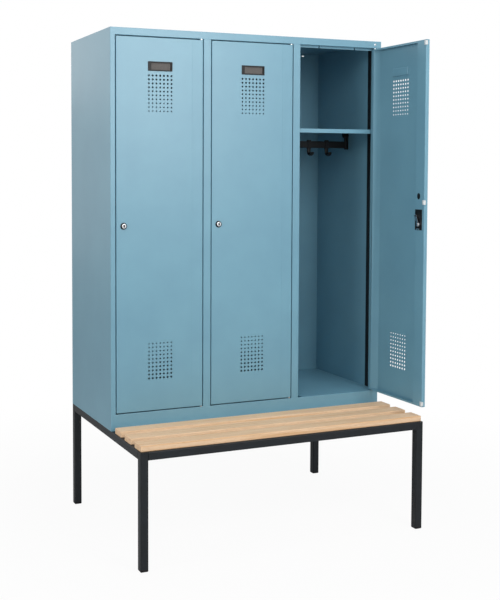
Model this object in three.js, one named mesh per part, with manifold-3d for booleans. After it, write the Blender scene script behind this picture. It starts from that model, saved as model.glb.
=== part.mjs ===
// A steel locker with three doors, standing on a tube bench with beech slats in front of it.
// Millimetres, +Z up. X runs along the front to the right, Y runs from the front into the depth.
// Places are worked out with z = 0 on top of the bench frame and y = 0 at the front of the
// locker body. The last lines move the origin to the middle of the footprint, on the ground.

import * as THREE from 'three';
import { mergeVertices } from 'three/addons/utils/BufferGeometryUtils.js';
import Module from 'manifold-3d';

const wasm = await Module();
wasm.setup();

// Running gap between pieces that turn, slide or sit in each other
const gap = 0.3;
// How far a cutting solid runs past what it cuts
const overrun = 1;

// Locker body
const bodyWidth = 1190;
const bodyDepth = 500;
const bodyHeight = 1522;
const bodySheet = 0.8;
const compartmentCount = 3;
const sideStile = 19;
const partitionStile = 31;
const topRail = 28;
const plinth = 62;
const rebateDepth = 20;
const stopWidth = 11;
const topStopDrop = 9;
const stopSlitWidth = 4;
const stopSlitHeight = 6;
const stopSlitOffset = 84;
const rearFlange = 20;
const bottomFlange = 20;
const webFlange = 12;
const floorNotchInset = 2;
const floorNotchWidth = 20;
const floorNotchDepth = 44;

// Bench frame and slats
const benchReach = 315;
const tube = 30;
const tubeWall = 2;
const legHeight = 420;
const footHeight = 8;
const footRounding = 3;
const footPlugHeight = 14;
const slatCount = 3;
const slatWidth = 65;
const slatThickness = 22;
const slatRounding = 3;
const slatEndInset = 4;
const slatFrontInset = 8;
const slatRearInset = 35;

// Hat shelf, hook rail and hooks
const shelfTop = 1160;
const shelfLip = 18;
const shelfLipReturn = 9;
const shelfFlange = 12;
const shelfSetback = 0.5;
const hookRailHeight = 29;
const hookRailThickness = 8;
const hookRailDepthPlace = 240;
const hookRailTop = 1115;
const hookRailEndInset = 4;
const bracketWidth = 18;
const bracketThickness = 12;
const bracketDrop = 1;
const hookPitch = 88;
const hookCollarWidth = 18;
const hookCollarWall = 3;
const hookCollarCrown = 5;
const hookWidth = 8;
const hookThickness = 6;
const hookBendRadius = 17;
const hookLowest = 1051;
const hookSweep = THREE.MathUtils.degToRad(160);

// Doors
const doorSheet = 1;
const doorDepth = 16;
const doorSideGap = 3;
const doorEndGap = 3.5;
const lockFlange = 50;
const hingeFlange = 28;
const endFlange = 8;
const pivotInset = 5;
const openDoor = 3;
const openAngle = THREE.MathUtils.degToRad(91);
const pinRadius = 3;
const pinCollarRadius = 4.6;
const pinReach = 7;
const pinHead = 2;

// Ventilation holes in each door, larger towards the ends of the door
const ventColumns = 7;
const ventRows = 10;
const ventColumnPitch = 15.4;
const ventRowPitch = 14.9;
const ventLargest = 7.5;
const ventSmallest = 4.2;
const ventSides = 6;
const upperVentInset = 143.5;
const lowerVentInset = 125.5;

// Label holder
const labelWidth = 100;
const labelHeight = 36;
const labelRim = 4.8;
const labelProud = 1.5;
const labelRecess = 5;
const labelWall = 1;
const labelTopInset = 90.5;

// Lock
const lockInset = 30;
const rosetteRadius = 13;
const rosetteFrontRadius = 11;
const rosetteProud = 4.7;
const neckRadius = 10.3;
const plugRadius = 8.5;
const plugProud = 6.5;
const plugChamfer = 0.6;
const plugDepth = 12;
const keySlotWidth = 1.8;
const keySlotHeight = 9;
const keySlotDepth = 6;
const stubRadius = 4;
const caseInset = 10.5;
const caseWidth = 43.5;
const caseBelow = 23;
const caseAbove = 57;
const caseProud = 1;
const flangeSlotWidth = 11;
const flangeSlotHeight = 24;
const flangeSlotInset = 32;
const flangeSlotRise = 109;
const camBossRadius = 8;
const camBossLift = 0.6;
const camPlateStart = 21.8;
const camPlateThickness = 2.5;
const camLength = 41;
const camWidth = 12;
const camRestAngle = THREE.MathUtils.degToRad(60);
const camNutRadius = 7;
const camNutHeight = 3;
const stubEnd = 0.7;

// Facets on round pieces
const cornerSegments = 1;
const bendSegments = 3;
const pinSides = 10;
const lockSides = 16;
const nutSides = 6;

const finishes = {
  lockerBlue: { color: 0x86aec0, roughness: 0.45, metalness: 0.1 },
  frameGrey: { color: 0x2b2e33, roughness: 0.5, metalness: 0.1 },
  beech: { color: 0xd3ad80, roughness: 0.55, metalness: 0 },
  blackPlastic: { color: 0x17191b, roughness: 0.4, metalness: 0 },
  chrome: { color: 0xd5d7da, roughness: 0.12, metalness: 1 },
  zincSteel: { color: 0xaeb1b4, roughness: 0.35, metalness: 1 },
};

// Places that follow from the sizes
const openingWidth =
  (bodyWidth - 2 * sideStile - (compartmentCount - 1) * partitionStile) / compartmentCount;
const openingTop = bodyHeight - topRail;
const stopBack = rebateDepth + bodySheet;
const roofUnderside = bodyHeight - bodySheet;
const rearFlangeFront = bodyDepth - bodySheet;
const backFront = rearFlangeFront - bodySheet;
const webBack = backFront - bodySheet;
const leafWidth = openingWidth - 2 * doorSideGap;
const leafBottom = plinth + doorEndGap;
const leafTop = openingTop - doorEndGap;
const lockHeight = (leafBottom + leafTop) / 2;
const pivotDepth = pivotInset;

// The opening, the clear walls and the partition of one compartment, counted from the left
function compartment(number) {
  const openingLeft = sideStile + (number - 1) * (openingWidth + partitionStile);
  const openingRight = openingLeft + openingWidth;
  const leftWall = number === 1 ? bodySheet : openingLeft - (partitionStile - bodySheet) / 2;
  const isLast = number === compartmentCount;
  const rightWall = isLast ? bodyWidth - bodySheet : openingRight + (partitionStile - bodySheet) / 2;
  return { number, openingLeft, openingRight, leftWall, rightWall };
}

const compartments = [];
for (let number = 1; number <= compartmentCount; number += 1) {
  compartments.push(compartment(number));
}

// A closed mesh as a solid that can be joined and cut
function toSolid(geometry) {
  geometry.deleteAttribute('normal');
  geometry.deleteAttribute('uv');
  const merged = mergeVertices(geometry);
  return new wasm.Manifold(new wasm.Mesh({
    numProp: 3,
    vertProperties: merged.attributes.position.array,
    triVerts: new Uint32Array(merged.index.array),
  }));
}

function fuse(...solids) {
  return solids.reduce((whole, solid) => whole.add(solid));
}

function cut(solid, ...cutters) {
  return cutters.reduce((rest, cutter) => rest.subtract(cutter), solid);
}

// A box between two opposite corners. Each face lies exactly at the value given for it.
function block(cornerA, cornerB) {
  const geometry = new THREE.BoxGeometry(1, 1, 1);
  const position = geometry.attributes.position;
  for (let index = 0; index < position.count; index += 1) {
    for (let axis = 0; axis < cornerA.length; axis += 1) {
      const pick = position.getComponent(index, axis) > 0 ? Math.max : Math.min;
      position.setComponent(index, axis, pick(cornerA[axis], cornerB[axis]));
    }
  }
  return toSolid(geometry);
}

// An outline pulled straight along x, y or z. Its own two axes are the other two, in that order.
function pulled(outline, axis, low, high, segments = bendSegments) {
  const options = { depth: 1, bevelEnabled: false, curveSegments: segments };
  const geometry = new THREE.ExtrudeGeometry(outline, options);
  const position = geometry.attributes.position;
  for (let index = 0; index < position.count; index += 1) {
    const first = position.getX(index);
    const second = position.getY(index);
    const atEnd = position.getZ(index) > 0;
    if (axis === 'x') {
      position.setXYZ(index, atEnd ? high : low, first, second);
    } else if (axis === 'y') {
      position.setXYZ(index, first, atEnd ? low : high, second);
    } else {
      position.setXYZ(index, first, second, atEnd ? high : low);
    }
  }
  return toSolid(geometry);
}

// A solid turned about z or y through the centre, from points of radius and height going upwards
function turned(profile, axis, centre, sides) {
  const points = profile.map(([radius, height]) => new THREE.Vector2(radius, height));
  const geometry = new THREE.LatheGeometry(points, sides);
  const position = geometry.attributes.position;
  for (let index = 0; index < position.count; index += 1) {
    const across = position.getX(index);
    const height = position.getY(index);
    const along = position.getZ(index);
    if (axis === 'z') {
      position.setXYZ(index, centre[0] + along, centre[1] + across, height);
    } else {
      position.setXYZ(index, centre[0] + across, height, centre[1] + along);
    }
  }
  return toSolid(geometry);
}

function rod(radius, axis, centre, low, high, sides) {
  return turned([[0, low], [radius, low], [radius, high], [0, high]], axis, centre, sides);
}

function polygon(points) {
  return new THREE.Shape(points.map(([first, second]) => new THREE.Vector2(first, second)));
}

function circlePoints(centre, radius, sides) {
  return Array.from({ length: sides }, (_, index) => {
    const angle = (index * 2 * Math.PI) / sides;
    return [centre[0] + radius * Math.cos(angle), centre[1] + radius * Math.sin(angle)];
  });
}

// A rectangle with round corners, between two opposite corners
function roundedRectangle([left, low], [right, high], radius) {
  const outline = new THREE.Shape();
  outline.absarc(right - radius, low + radius, radius, -Math.PI / 2, 0, false);
  outline.absarc(right - radius, high - radius, radius, 0, Math.PI / 2, false);
  outline.absarc(left + radius, high - radius, radius, Math.PI / 2, Math.PI, false);
  outline.absarc(left + radius, low + radius, radius, Math.PI, 1.5 * Math.PI, false);
  return outline;
}

// A named mesh of a finished solid, with the faces that lie in one plane joined again
function piece(name, finish, solid) {
  const { vertProperties, triVerts } = solid.asOriginal().simplify().getMesh();
  const geometry = new THREE.BufferGeometry();
  geometry.setAttribute('position', new THREE.BufferAttribute(vertProperties, 3));
  geometry.setIndex(new THREE.BufferAttribute(triVerts, 1));
  geometry.computeVertexNormals();
  const mesh = new THREE.Mesh(geometry, new THREE.MeshStandardMaterial(finish));
  mesh.name = name;
  return mesh;
}

// Bench frame: four legs to the top of the frame, with the rails butted between them
function squareTube(cornerA, cornerB, axis) {
  const inner = [cornerA, cornerB].map((corner, end) => corner.map((value, index) => {
    const inward = end === 0 ? 1 : -1;
    return index === axis ? value - inward * overrun : value + inward * tubeWall;
  }));
  return cut(block(cornerA, cornerB), block(...inner));
}

const legPlaces = [
  { end: 'front_left', x: 0, y: -benchReach },
  { end: 'front_right', x: bodyWidth - tube, y: -benchReach },
  { end: 'rear_left', x: 0, y: bodyDepth - tube },
  { end: 'rear_right', x: bodyWidth - tube, y: bodyDepth - tube },
];

// A leg is closed at the top and open at the foot, where the cap's plug goes in
function leg({ end, x, y }) {
  const outside = block([x, y, -legHeight], [x + tube, y + tube, 0]);
  const hollow = block(
    [x + tubeWall, y + tubeWall, -legHeight - overrun],
    [x + tube - tubeWall, y + tube - tubeWall, -tubeWall],
  );
  return piece(`leg_${end}`, finishes.frameGrey, cut(outside, hollow));
}

function footCap({ end, x, y }) {
  const outline = roundedRectangle([x, y], [x + tube, y + tube], footRounding);
  const sole = pulled(outline, 'z', -legHeight - footHeight, -legHeight, cornerSegments);
  const plug = block(
    [x + tubeWall + gap, y + tubeWall + gap, -legHeight - footHeight / 2],
    [x + tube - tubeWall - gap, y + tube - tubeWall - gap, -legHeight + footPlugHeight],
  );
  return piece(`foot_cap_${end}`, finishes.blackPlastic, fuse(sole, plug));
}

function frameRails() {
  const inLeft = tube;
  const inRight = bodyWidth - tube;
  const inFront = -benchReach + tube;
  const inRear = bodyDepth - tube;
  const alongX = (y) => squareTube([inLeft, y, -tube], [inRight, y + tube, 0], 0);
  const alongY = (x) => squareTube([x, inFront, -tube], [x + tube, inRear, 0], 1);
  return [
    piece('rail_front', finishes.frameGrey, alongX(-benchReach)),
    piece('rail_middle', finishes.frameGrey, alongX(0)),
    piece('rail_rear', finishes.frameGrey, alongX(inRear)),
    piece('rail_left', finishes.frameGrey, alongY(0)),
    piece('rail_right', finishes.frameGrey, alongY(inRight)),
  ];
}

function slats() {
  const firstFront = -benchReach + slatFrontInset;
  const lastFront = -slatRearInset - slatWidth;
  const pitch = (lastFront - firstFront) / (slatCount - 1);
  return Array.from({ length: slatCount }, (_, index) => {
    const front = firstFront + index * pitch;
    const outline = roundedRectangle([front, 0], [front + slatWidth, slatThickness], slatRounding);
    const board = pulled(outline, 'x', slatEndInset, bodyWidth - slatEndInset, cornerSegments);
    return piece(`slat_${index + 1}`, finishes.beech, board);
  });
}

// Locker body. Roof, floor and back lie between the skins of the two sides.
function sidePanel(end) {
  const at = (inward) => (end === 'left' ? inward : bodyWidth - inward);
  const skin = block([at(0), 0, 0], [at(bodySheet), bodyDepth, bodyHeight]);
  const stile = block([at(0), 0, 0], [at(sideStile), bodySheet, bodyHeight]);
  const stileReturn = block([at(sideStile - bodySheet), 0, plinth], [at(sideStile), stopBack, openingTop]);
  const stop = block(
    [at(sideStile - bodySheet), rebateDepth, plinth],
    [at(sideStile + stopWidth), stopBack, openingTop],
  );
  const rear = block([at(0), rearFlangeFront, 0], [at(rearFlange), bodyDepth, bodyHeight]);
  const foot = block([at(0), 0, 0], [at(sideStile), bodyDepth, bodySheet]);
  return piece(`side_panel_${end}`, finishes.lockerBlue, fuse(skin, stile, stileReturn, stop, rear, foot));
}

function pivotHole({ openingRight }, low, high) {
  const centre = [openingRight - doorSideGap - pivotInset, pivotDepth];
  return rod(pinRadius + gap, 'z', centre, low, high, pinSides);
}

function roofPanel() {
  const inRight = bodyWidth - sideStile;
  const sheet = block(
    [bodySheet, bodySheet, roofUnderside],
    [bodyWidth - bodySheet, rearFlangeFront, bodyHeight],
  );
  const rail = block([sideStile, 0, openingTop], [inRight, bodySheet, bodyHeight]);
  const returnFlange = block([sideStile, 0, openingTop], [inRight, stopBack, openingTop + bodySheet]);
  const rear = block(
    [rearFlange, rearFlangeFront, bodyHeight - rearFlange],
    [bodyWidth - rearFlange, bodyDepth, bodyHeight],
  );
  const parts = [sheet, rail, returnFlange, rear];
  const cutters = [];
  for (const space of compartments) {
    const stopLow = openingTop - topStopDrop;
    const centre = (space.openingLeft + space.openingRight) / 2;
    parts.push(block(
      [space.openingLeft + stopWidth, rebateDepth, stopLow],
      [space.openingRight - stopWidth, stopBack, openingTop + bodySheet],
    ));
    cutters.push(pivotHole(space, openingTop - overrun, openingTop + bodySheet + overrun));
    for (const offset of [-stopSlitOffset, stopSlitOffset]) {
      const left = centre + offset - stopSlitWidth / 2;
      cutters.push(block(
        [left, rebateDepth - overrun, stopLow - overrun],
        [left + stopSlitWidth, stopBack + overrun, stopLow + stopSlitHeight],
      ));
    }
  }
  return piece('roof_panel', finishes.lockerBlue, cut(fuse(...parts), ...cutters));
}

// The floor is a tray turned upside down: its front fold is the plinth under the doors
function floorPanel() {
  const inRight = bodyWidth - sideStile;
  const under = plinth - bodySheet;
  const sheet = block([bodySheet, bodySheet, under], [bodyWidth - bodySheet, rearFlangeFront, plinth]);
  const front = block([sideStile, 0, 0], [inRight, bodySheet, plinth]);
  const frontFoot = block([sideStile, 0, 0], [inRight, bottomFlange, bodySheet]);
  const rear = block([rearFlange, rearFlangeFront, 0], [bodyWidth - rearFlange, bodyDepth, plinth]);
  const rearFoot = block(
    [rearFlange, bodyDepth - bottomFlange, 0],
    [bodyWidth - rearFlange, bodyDepth, bodySheet],
  );
  const cutters = [];
  for (const space of compartments) {
    cutters.push(pivotHole(space, under - overrun, plinth + overrun));
    const notchLeft = space.openingLeft + floorNotchInset;
    cutters.push(block(
      [notchLeft, bodySheet, under - overrun],
      [notchLeft + floorNotchWidth, floorNotchDepth, plinth + overrun],
    ));
  }
  const tray = fuse(sheet, front, frontFoot, rear, rearFoot);
  return piece('floor_panel', finishes.lockerBlue, cut(tray, ...cutters));
}

function backPanel() {
  const sheet = block(
    [bodySheet, backFront, plinth],
    [bodyWidth - bodySheet, rearFlangeFront, roofUnderside],
  );
  return piece('back_panel', finishes.lockerBlue, sheet);
}

// A partition is a hollow front post with stops on both sides, and a web to the back
function partition(before, after) {
  const left = before.openingRight;
  const right = after.openingLeft;
  const solid = fuse(
    block([left, 0, plinth], [right, bodySheet, openingTop]),
    block([left, 0, plinth], [left + bodySheet, stopBack, openingTop]),
    block([right - bodySheet, 0, plinth], [right, stopBack, openingTop]),
    block([left - stopWidth, rebateDepth, plinth], [right + stopWidth, stopBack, openingTop]),
    block([before.rightWall, stopBack, plinth], [after.leftWall, backFront, roofUnderside]),
    block([before.rightWall, webBack, plinth], [after.leftWall + webFlange, backFront, roofUnderside]),
  );
  return piece(`partition_${before.number}`, finishes.lockerBlue, solid);
}

// Hat shelf with a lip folded down in front and small flanges down the walls
function hatShelf({ number, leftWall, rightWall }) {
  const front = stopBack + shelfSetback;
  const back = webBack - gap;
  const under = shelfTop - bodySheet;
  const lipLow = shelfTop - shelfLip;
  const flangeLow = shelfTop - shelfFlange;
  const solid = fuse(
    block([leftWall, front, under], [rightWall, back, shelfTop]),
    block([leftWall, front, lipLow], [rightWall, front + bodySheet, shelfTop]),
    block([leftWall, front, lipLow], [rightWall, front + shelfLipReturn, lipLow + bodySheet]),
    block([leftWall, front, flangeLow], [leftWall + bodySheet, back, shelfTop]),
    block([rightWall - bodySheet, front, flangeLow], [rightWall, back, shelfTop]),
    block([leftWall, back - bodySheet, flangeLow], [rightWall, back, shelfTop]),
  );
  return piece(`hat_shelf_${number}`, finishes.lockerBlue, solid);
}

// Hook rail: a flat bar that hangs from the shelf by a bracket at each end
function hookRail({ number, leftWall, rightWall }) {
  const left = leftWall + hookRailEndInset;
  const right = rightWall - hookRailEndInset;
  const barLow = hookRailTop - hookRailHeight;
  const bar = block(
    [left, hookRailDepthPlace - hookRailThickness / 2, barLow],
    [right, hookRailDepthPlace + hookRailThickness / 2, hookRailTop],
  );
  const bracket = (x) => block(
    [x, hookRailDepthPlace - bracketThickness / 2, barLow - bracketDrop],
    [x + bracketWidth, hookRailDepthPlace + bracketThickness / 2, shelfTop - bodySheet],
  );
  const solid = fuse(bar, bracket(left), bracket(right - bracketWidth));
  return piece(`hook_rail_${number}`, finishes.blackPlastic, solid);
}

// A hook is a collar that slides along the rail, with a bent finger below that points forwards
function hook(name, centreX) {
  const barLow = hookRailTop - hookRailHeight;
  const halfBar = hookRailThickness / 2;
  const across = halfBar + gap;
  const collarLow = barLow - gap - hookCollarWall;
  const collar = cut(
    block(
      [centreX - hookCollarWidth / 2, hookRailDepthPlace - across - hookCollarWall, collarLow],
      [
        centreX + hookCollarWidth / 2,
        hookRailDepthPlace + across + hookCollarWall,
        hookRailTop + gap + hookCollarCrown,
      ],
    ),
    block(
      [centreX - hookCollarWidth / 2 - overrun, hookRailDepthPlace - across, barLow - gap],
      [centreX + hookCollarWidth / 2 + overrun, hookRailDepthPlace + across, hookRailTop + gap],
    ),
  );
  const half = hookThickness / 2;
  const bendDepth = hookRailDepthPlace - hookBendRadius;
  const bendHeight = hookLowest + hookBendRadius + half;
  const tipDepth = bendDepth + hookBendRadius * Math.cos(hookSweep);
  const tipHeight = bendHeight - hookBendRadius * Math.sin(hookSweep);
  const top = collarLow + hookCollarWall / 2;
  const finger = new THREE.Shape();
  finger.moveTo(hookRailDepthPlace + half, top);
  finger.absarc(bendDepth, bendHeight, hookBendRadius + half, 0, -hookSweep, true);
  finger.absarc(tipDepth, tipHeight, half, -hookSweep, -hookSweep - Math.PI, true);
  finger.absarc(bendDepth, bendHeight, hookBendRadius - half, -hookSweep, 0, false);
  finger.lineTo(hookRailDepthPlace - half, top);
  const blade = pulled(finger, 'x', centreX - hookWidth / 2, centreX + hookWidth / 2);
  return piece(name, finishes.blackPlastic, fuse(collar, blade));
}

function hooks({ number, openingLeft, openingRight }) {
  const centre = (openingLeft + openingRight) / 2;
  const places = [['left', -hookPitch], ['centre', 0], ['right', hookPitch]];
  return places.map(([place, offset]) => hook(`hook_${number}_${place}`, centre + offset));
}

// Doors. A door's own x starts at its free edge and its own y at its front face.
function ventHoles() {
  const holes = [];
  const middle = leafWidth / 2;
  for (let row = 0; row < ventRows; row += 1) {
    const share = row / (ventRows - 1);
    const radius = (ventLargest + share * (ventSmallest - ventLargest)) / 2;
    const heights = [
      leafTop - upperVentInset - row * ventRowPitch,
      leafBottom + lowerVentInset + row * ventRowPitch,
    ];
    for (let column = 0; column < ventColumns; column += 1) {
      const x = middle + (column - (ventColumns - 1) / 2) * ventColumnPitch;
      heights.forEach((height) => holes.push(circlePoints([x, height], radius, ventSides)));
    }
  }
  return holes;
}

// The tub of the label holder, seen from the front, grown by a margin
function labelTub(margin) {
  const middle = leafWidth / 2;
  const halfWidth = labelWidth / 2 - labelRim + labelWall + margin;
  const halfHeight = labelHeight / 2 - labelRim + labelWall + margin;
  const centreHeight = leafTop - labelTopInset - labelHeight / 2;
  return {
    left: middle - halfWidth,
    right: middle + halfWidth,
    low: centreHeight - halfHeight,
    high: centreHeight + halfHeight,
  };
}

function leafFront() {
  const front = polygon([[0, leafBottom], [leafWidth, leafBottom], [leafWidth, leafTop], [0, leafTop]]);
  const tub = labelTub(gap);
  const cutOuts = [
    [[tub.left, tub.low], [tub.right, tub.low], [tub.right, tub.high], [tub.left, tub.high]],
    circlePoints([lockInset, lockHeight], neckRadius + gap, lockSides),
    ...ventHoles(),
  ];
  front.holes = cutOuts.map((points) => polygon(points));
  return pulled(front, 'y', 0, doorSheet);
}

function doorLeaf(number) {
  const inner = doorDepth - doorSheet;
  const leaf = fuse(
    leafFront(),
    block([0, 0, leafBottom], [doorSheet, doorDepth, leafTop]),
    block([leafWidth - doorSheet, 0, leafBottom], [leafWidth, doorDepth, leafTop]),
    block([0, 0, leafTop - doorSheet], [leafWidth, doorDepth, leafTop]),
    block([0, 0, leafBottom], [leafWidth, doorDepth, leafBottom + doorSheet]),
    block([0, inner, leafBottom], [lockFlange, doorDepth, leafTop]),
    block([leafWidth - hingeFlange, inner, leafBottom], [leafWidth, doorDepth, leafTop]),
    block([0, inner, leafTop - endFlange], [leafWidth, doorDepth, leafTop]),
    block([0, inner, leafBottom], [leafWidth, doorDepth, leafBottom + endFlange]),
  );
  const slotCentre = lockHeight + flangeSlotRise;
  const pivot = [leafWidth - pivotInset, pivotDepth];
  const solid = cut(
    leaf,
    block(
      [caseInset - gap, inner - overrun, lockHeight - caseBelow - gap],
      [lockFlange + overrun, doorDepth + overrun, lockHeight + caseAbove + gap],
    ),
    block(
      [flangeSlotInset - flangeSlotWidth / 2, inner - overrun, slotCentre - flangeSlotHeight / 2],
      [flangeSlotInset + flangeSlotWidth / 2, doorDepth + overrun, slotCentre + flangeSlotHeight / 2],
    ),
    rod(pinRadius + gap, 'z', pivot, leafTop - doorSheet - overrun, leafTop + overrun, pinSides),
    rod(pinRadius + gap, 'z', pivot, leafBottom - overrun, leafBottom + doorSheet + overrun, pinSides),
  );
  return piece(`door_leaf_${number}`, finishes.lockerBlue, solid);
}

// Label holder: a rim on the face of the leaf round a shallow tub that sits in the cut-out
function labelHolder(number) {
  const tub = labelTub(0);
  const over = labelRim - labelWall;
  const rimFront = -gap - labelProud;
  const tubBack = rimFront + labelRecess + labelWall;
  const solid = cut(
    fuse(
      block([tub.left - over, rimFront, tub.low - over], [tub.right + over, -gap, tub.high + over]),
      block([tub.left, -gap - labelProud / 2, tub.low], [tub.right, tubBack, tub.high]),
    ),
    block(
      [tub.left + labelWall, rimFront - overrun, tub.low + labelWall],
      [tub.right - labelWall, tubBack - labelWall, tub.high - labelWall],
    ),
  );
  return piece(`label_holder_${number}`, finishes.blackPlastic, solid);
}

// Lock case with the rosette in front of the leaf, joined by a neck through it
function lockCase(number) {
  const axis = [lockInset, lockHeight];
  const caseFront = doorSheet + gap;
  const caseBack = doorDepth + caseProud;
  const box = block(
    [caseInset, caseFront, lockHeight - caseBelow],
    [caseInset + caseWidth, caseBack, lockHeight + caseAbove],
  );
  const rosette = turned(
    [
      [0, -gap - rosetteProud],
      [rosetteFrontRadius, -gap - rosetteProud],
      [rosetteRadius, -gap],
      [neckRadius, -gap],
      [neckRadius, caseFront + doorSheet],
      [0, caseFront + doorSheet],
    ],
    'y',
    axis,
    lockSides,
  );
  const plugBore = rod(plugRadius + gap, 'y', axis, -plugProud - overrun, plugDepth + gap, lockSides);
  const stubBore = rod(stubRadius + gap, 'y', axis, plugDepth, caseBack + overrun, pinSides);
  return piece(`lock_case_${number}`, finishes.blackPlastic, cut(fuse(box, rosette), plugBore, stubBore));
}

function lockCylinder(number) {
  const axis = [lockInset, lockHeight];
  const end = camPlateStart + camPlateThickness + camNutHeight + stubEnd;
  const plug = turned(
    [
      [0, -plugProud],
      [plugRadius - plugChamfer, -plugProud],
      [plugRadius, -plugProud + plugChamfer],
      [plugRadius, plugDepth],
      [stubRadius, plugDepth],
      [stubRadius, end],
      [0, end],
    ],
    'y',
    axis,
    lockSides,
  );
  const keySlot = block(
    [lockInset - keySlotWidth / 2, -plugProud - overrun, lockHeight - keySlotHeight / 2],
    [lockInset + keySlotWidth / 2, -plugProud + keySlotDepth, lockHeight + keySlotHeight / 2],
  );
  return piece(`lock_cylinder_${number}`, finishes.chrome, cut(plug, keySlot));
}

// Cam that turns behind the stop, with its boss and the nut that holds it
function lockCam(number) {
  const axis = [lockInset, lockHeight];
  const bossStart = doorDepth + caseProud + camBossLift;
  const plateEnd = camPlateStart + camPlateThickness;
  const half = camWidth / 2;
  const tipReach = camLength - half;
  const arm = new THREE.Shape();
  arm.absarc(
    lockInset + tipReach * Math.cos(camRestAngle),
    lockHeight + tipReach * Math.sin(camRestAngle),
    half,
    camRestAngle - Math.PI / 2,
    camRestAngle + Math.PI / 2,
    false,
  );
  arm.absarc(lockInset, lockHeight, half, camRestAngle + Math.PI / 2, camRestAngle + 1.5 * Math.PI, false);
  const solid = cut(
    fuse(
      rod(camBossRadius, 'y', axis, bossStart, plateEnd, lockSides),
      pulled(arm, 'y', camPlateStart, plateEnd),
      rod(camNutRadius, 'y', axis, camPlateStart, plateEnd + camNutHeight, nutSides),
    ),
    rod(stubRadius + gap, 'y', axis, bossStart - overrun, plateEnd + camNutHeight + overrun, lockSides),
  );
  return piece(`lock_cam_${number}`, finishes.zincSteel, solid);
}

function door({ number, openingRight }) {
  const leafGroup = new THREE.Group();
  leafGroup.position.set(pivotInset - leafWidth, -pivotDepth, 0);
  leafGroup.add(doorLeaf(number), labelHolder(number));
  leafGroup.add(lockCase(number), lockCylinder(number), lockCam(number));
  const hinge = new THREE.Group();
  hinge.position.set(openingRight - doorSideGap - pivotInset, pivotDepth, 0);
  hinge.rotation.z = number === openDoor ? openAngle : 0;
  hinge.add(leafGroup);
  return hinge;
}

// A pivot pin from inside the leaf, through its flange, past a collar in the gap and
// through the body sheet to a head. It points up at the top and down at the bottom.
function pivotPin(name, { openingRight }, leafFace, bodyFace, outward) {
  const headRadius = pivotDepth - bodySheet - gap;
  const profile = [
    [0, leafFace - outward * pinReach],
    [pinRadius, leafFace - outward * pinReach],
    [pinRadius, leafFace + outward * gap],
    [pinCollarRadius, leafFace + outward * gap],
    [pinCollarRadius, bodyFace - outward * gap],
    [pinRadius, bodyFace - outward * gap],
    [pinRadius, bodyFace + outward * (bodySheet + gap)],
    [headRadius, bodyFace + outward * (bodySheet + gap)],
    [headRadius, bodyFace + outward * (bodySheet + gap + pinHead)],
    [0, bodyFace + outward * (bodySheet + gap + pinHead)],
  ];
  const upwards = outward > 0 ? profile : profile.reverse();
  const centre = [openingRight - doorSideGap - pivotInset, pivotDepth];
  return piece(name, finishes.zincSteel, turned(upwards, 'z', centre, pinSides));
}

const locker = new THREE.Group();
locker.add(...legPlaces.map(leg), ...legPlaces.map(footCap), ...frameRails(), ...slats());
locker.add(sidePanel('left'), sidePanel('right'), roofPanel(), floorPanel(), backPanel());
for (let index = 1; index < compartmentCount; index += 1) {
  locker.add(partition(compartments[index - 1], compartments[index]));
}
for (const space of compartments) {
  locker.add(hatShelf(space), hookRail(space), ...hooks(space), door(space));
  locker.add(pivotPin(`pivot_pin_top_${space.number}`, space, leafTop, openingTop, 1));
  locker.add(pivotPin(`pivot_pin_bottom_${space.number}`, space, leafBottom, plinth, -1));
}

// Origin at the middle of the footprint of the whole object, on the ground
const extent = new THREE.Box3().setFromObject(locker);
locker.position.set(
  -(extent.min.x + extent.max.x) / 2,
  -(extent.min.y + extent.max.y) / 2,
  -extent.min.z,
);

export default locker;
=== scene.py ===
"""Looks of a three-door steel locker that stands on a tube bench with beech slats.

Places are given in millimetres from the lower front left corner of the locker body:
x to the right, y into the depth, z up. The body stands on the bench frame, whose top is z = 0.
"""

import logging
import math
from contextlib import contextmanager
from dataclasses import dataclass
from enum import Enum
from typing import Any, Callable, Iterator, Sequence

import bmesh
import bpy
from mathutils import Matrix, Vector


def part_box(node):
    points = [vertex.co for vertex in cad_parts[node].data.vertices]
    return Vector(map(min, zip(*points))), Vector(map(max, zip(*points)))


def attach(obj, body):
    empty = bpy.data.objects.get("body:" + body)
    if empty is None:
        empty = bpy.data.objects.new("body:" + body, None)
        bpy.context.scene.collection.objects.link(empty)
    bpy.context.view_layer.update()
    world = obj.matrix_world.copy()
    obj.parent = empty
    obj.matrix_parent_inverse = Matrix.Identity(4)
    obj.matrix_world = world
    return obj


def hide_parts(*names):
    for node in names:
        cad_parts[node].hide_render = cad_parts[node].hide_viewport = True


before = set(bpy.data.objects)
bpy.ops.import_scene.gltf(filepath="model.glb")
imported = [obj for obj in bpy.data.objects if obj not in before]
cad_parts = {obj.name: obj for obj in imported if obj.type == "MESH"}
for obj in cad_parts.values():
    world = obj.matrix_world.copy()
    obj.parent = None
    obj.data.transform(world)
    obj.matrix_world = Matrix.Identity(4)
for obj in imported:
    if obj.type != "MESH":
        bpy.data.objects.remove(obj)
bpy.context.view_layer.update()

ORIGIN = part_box("side_panel_left")[0]
MM = 0.001
WHITE = "#ffffff"
# Places closer than this many millimetres are one place
SAME_PLACE = 0.01
# Directions whose cosine is above this are one direction
SAME_WAY = 0.9
# An edge whose faces meet at more than this many radians is a fold
FOLD_ANGLE = 0.2
# How far a cutter reaches past what it cuts, and how far a hidden overlap goes, in millimetres
OVER = 1.0
# How much less than half its width a slot's ends are rounded, so that the roundings don't meet
ROUND_SLACK = 0.1
# An edge whose faces meet at more than this many radians is a corner
CORNER_ANGLE = 1.2
# Facets round a small hole and round the lock
HOLE_SIDES = 24
LOCK_SIDES = 48
log = logging.getLogger("locker")


def metres(values: Sequence[float]) -> Vector:
    """Turns millimetres into metres."""
    return Vector([value * MM for value in values])


# Finishes


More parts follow.
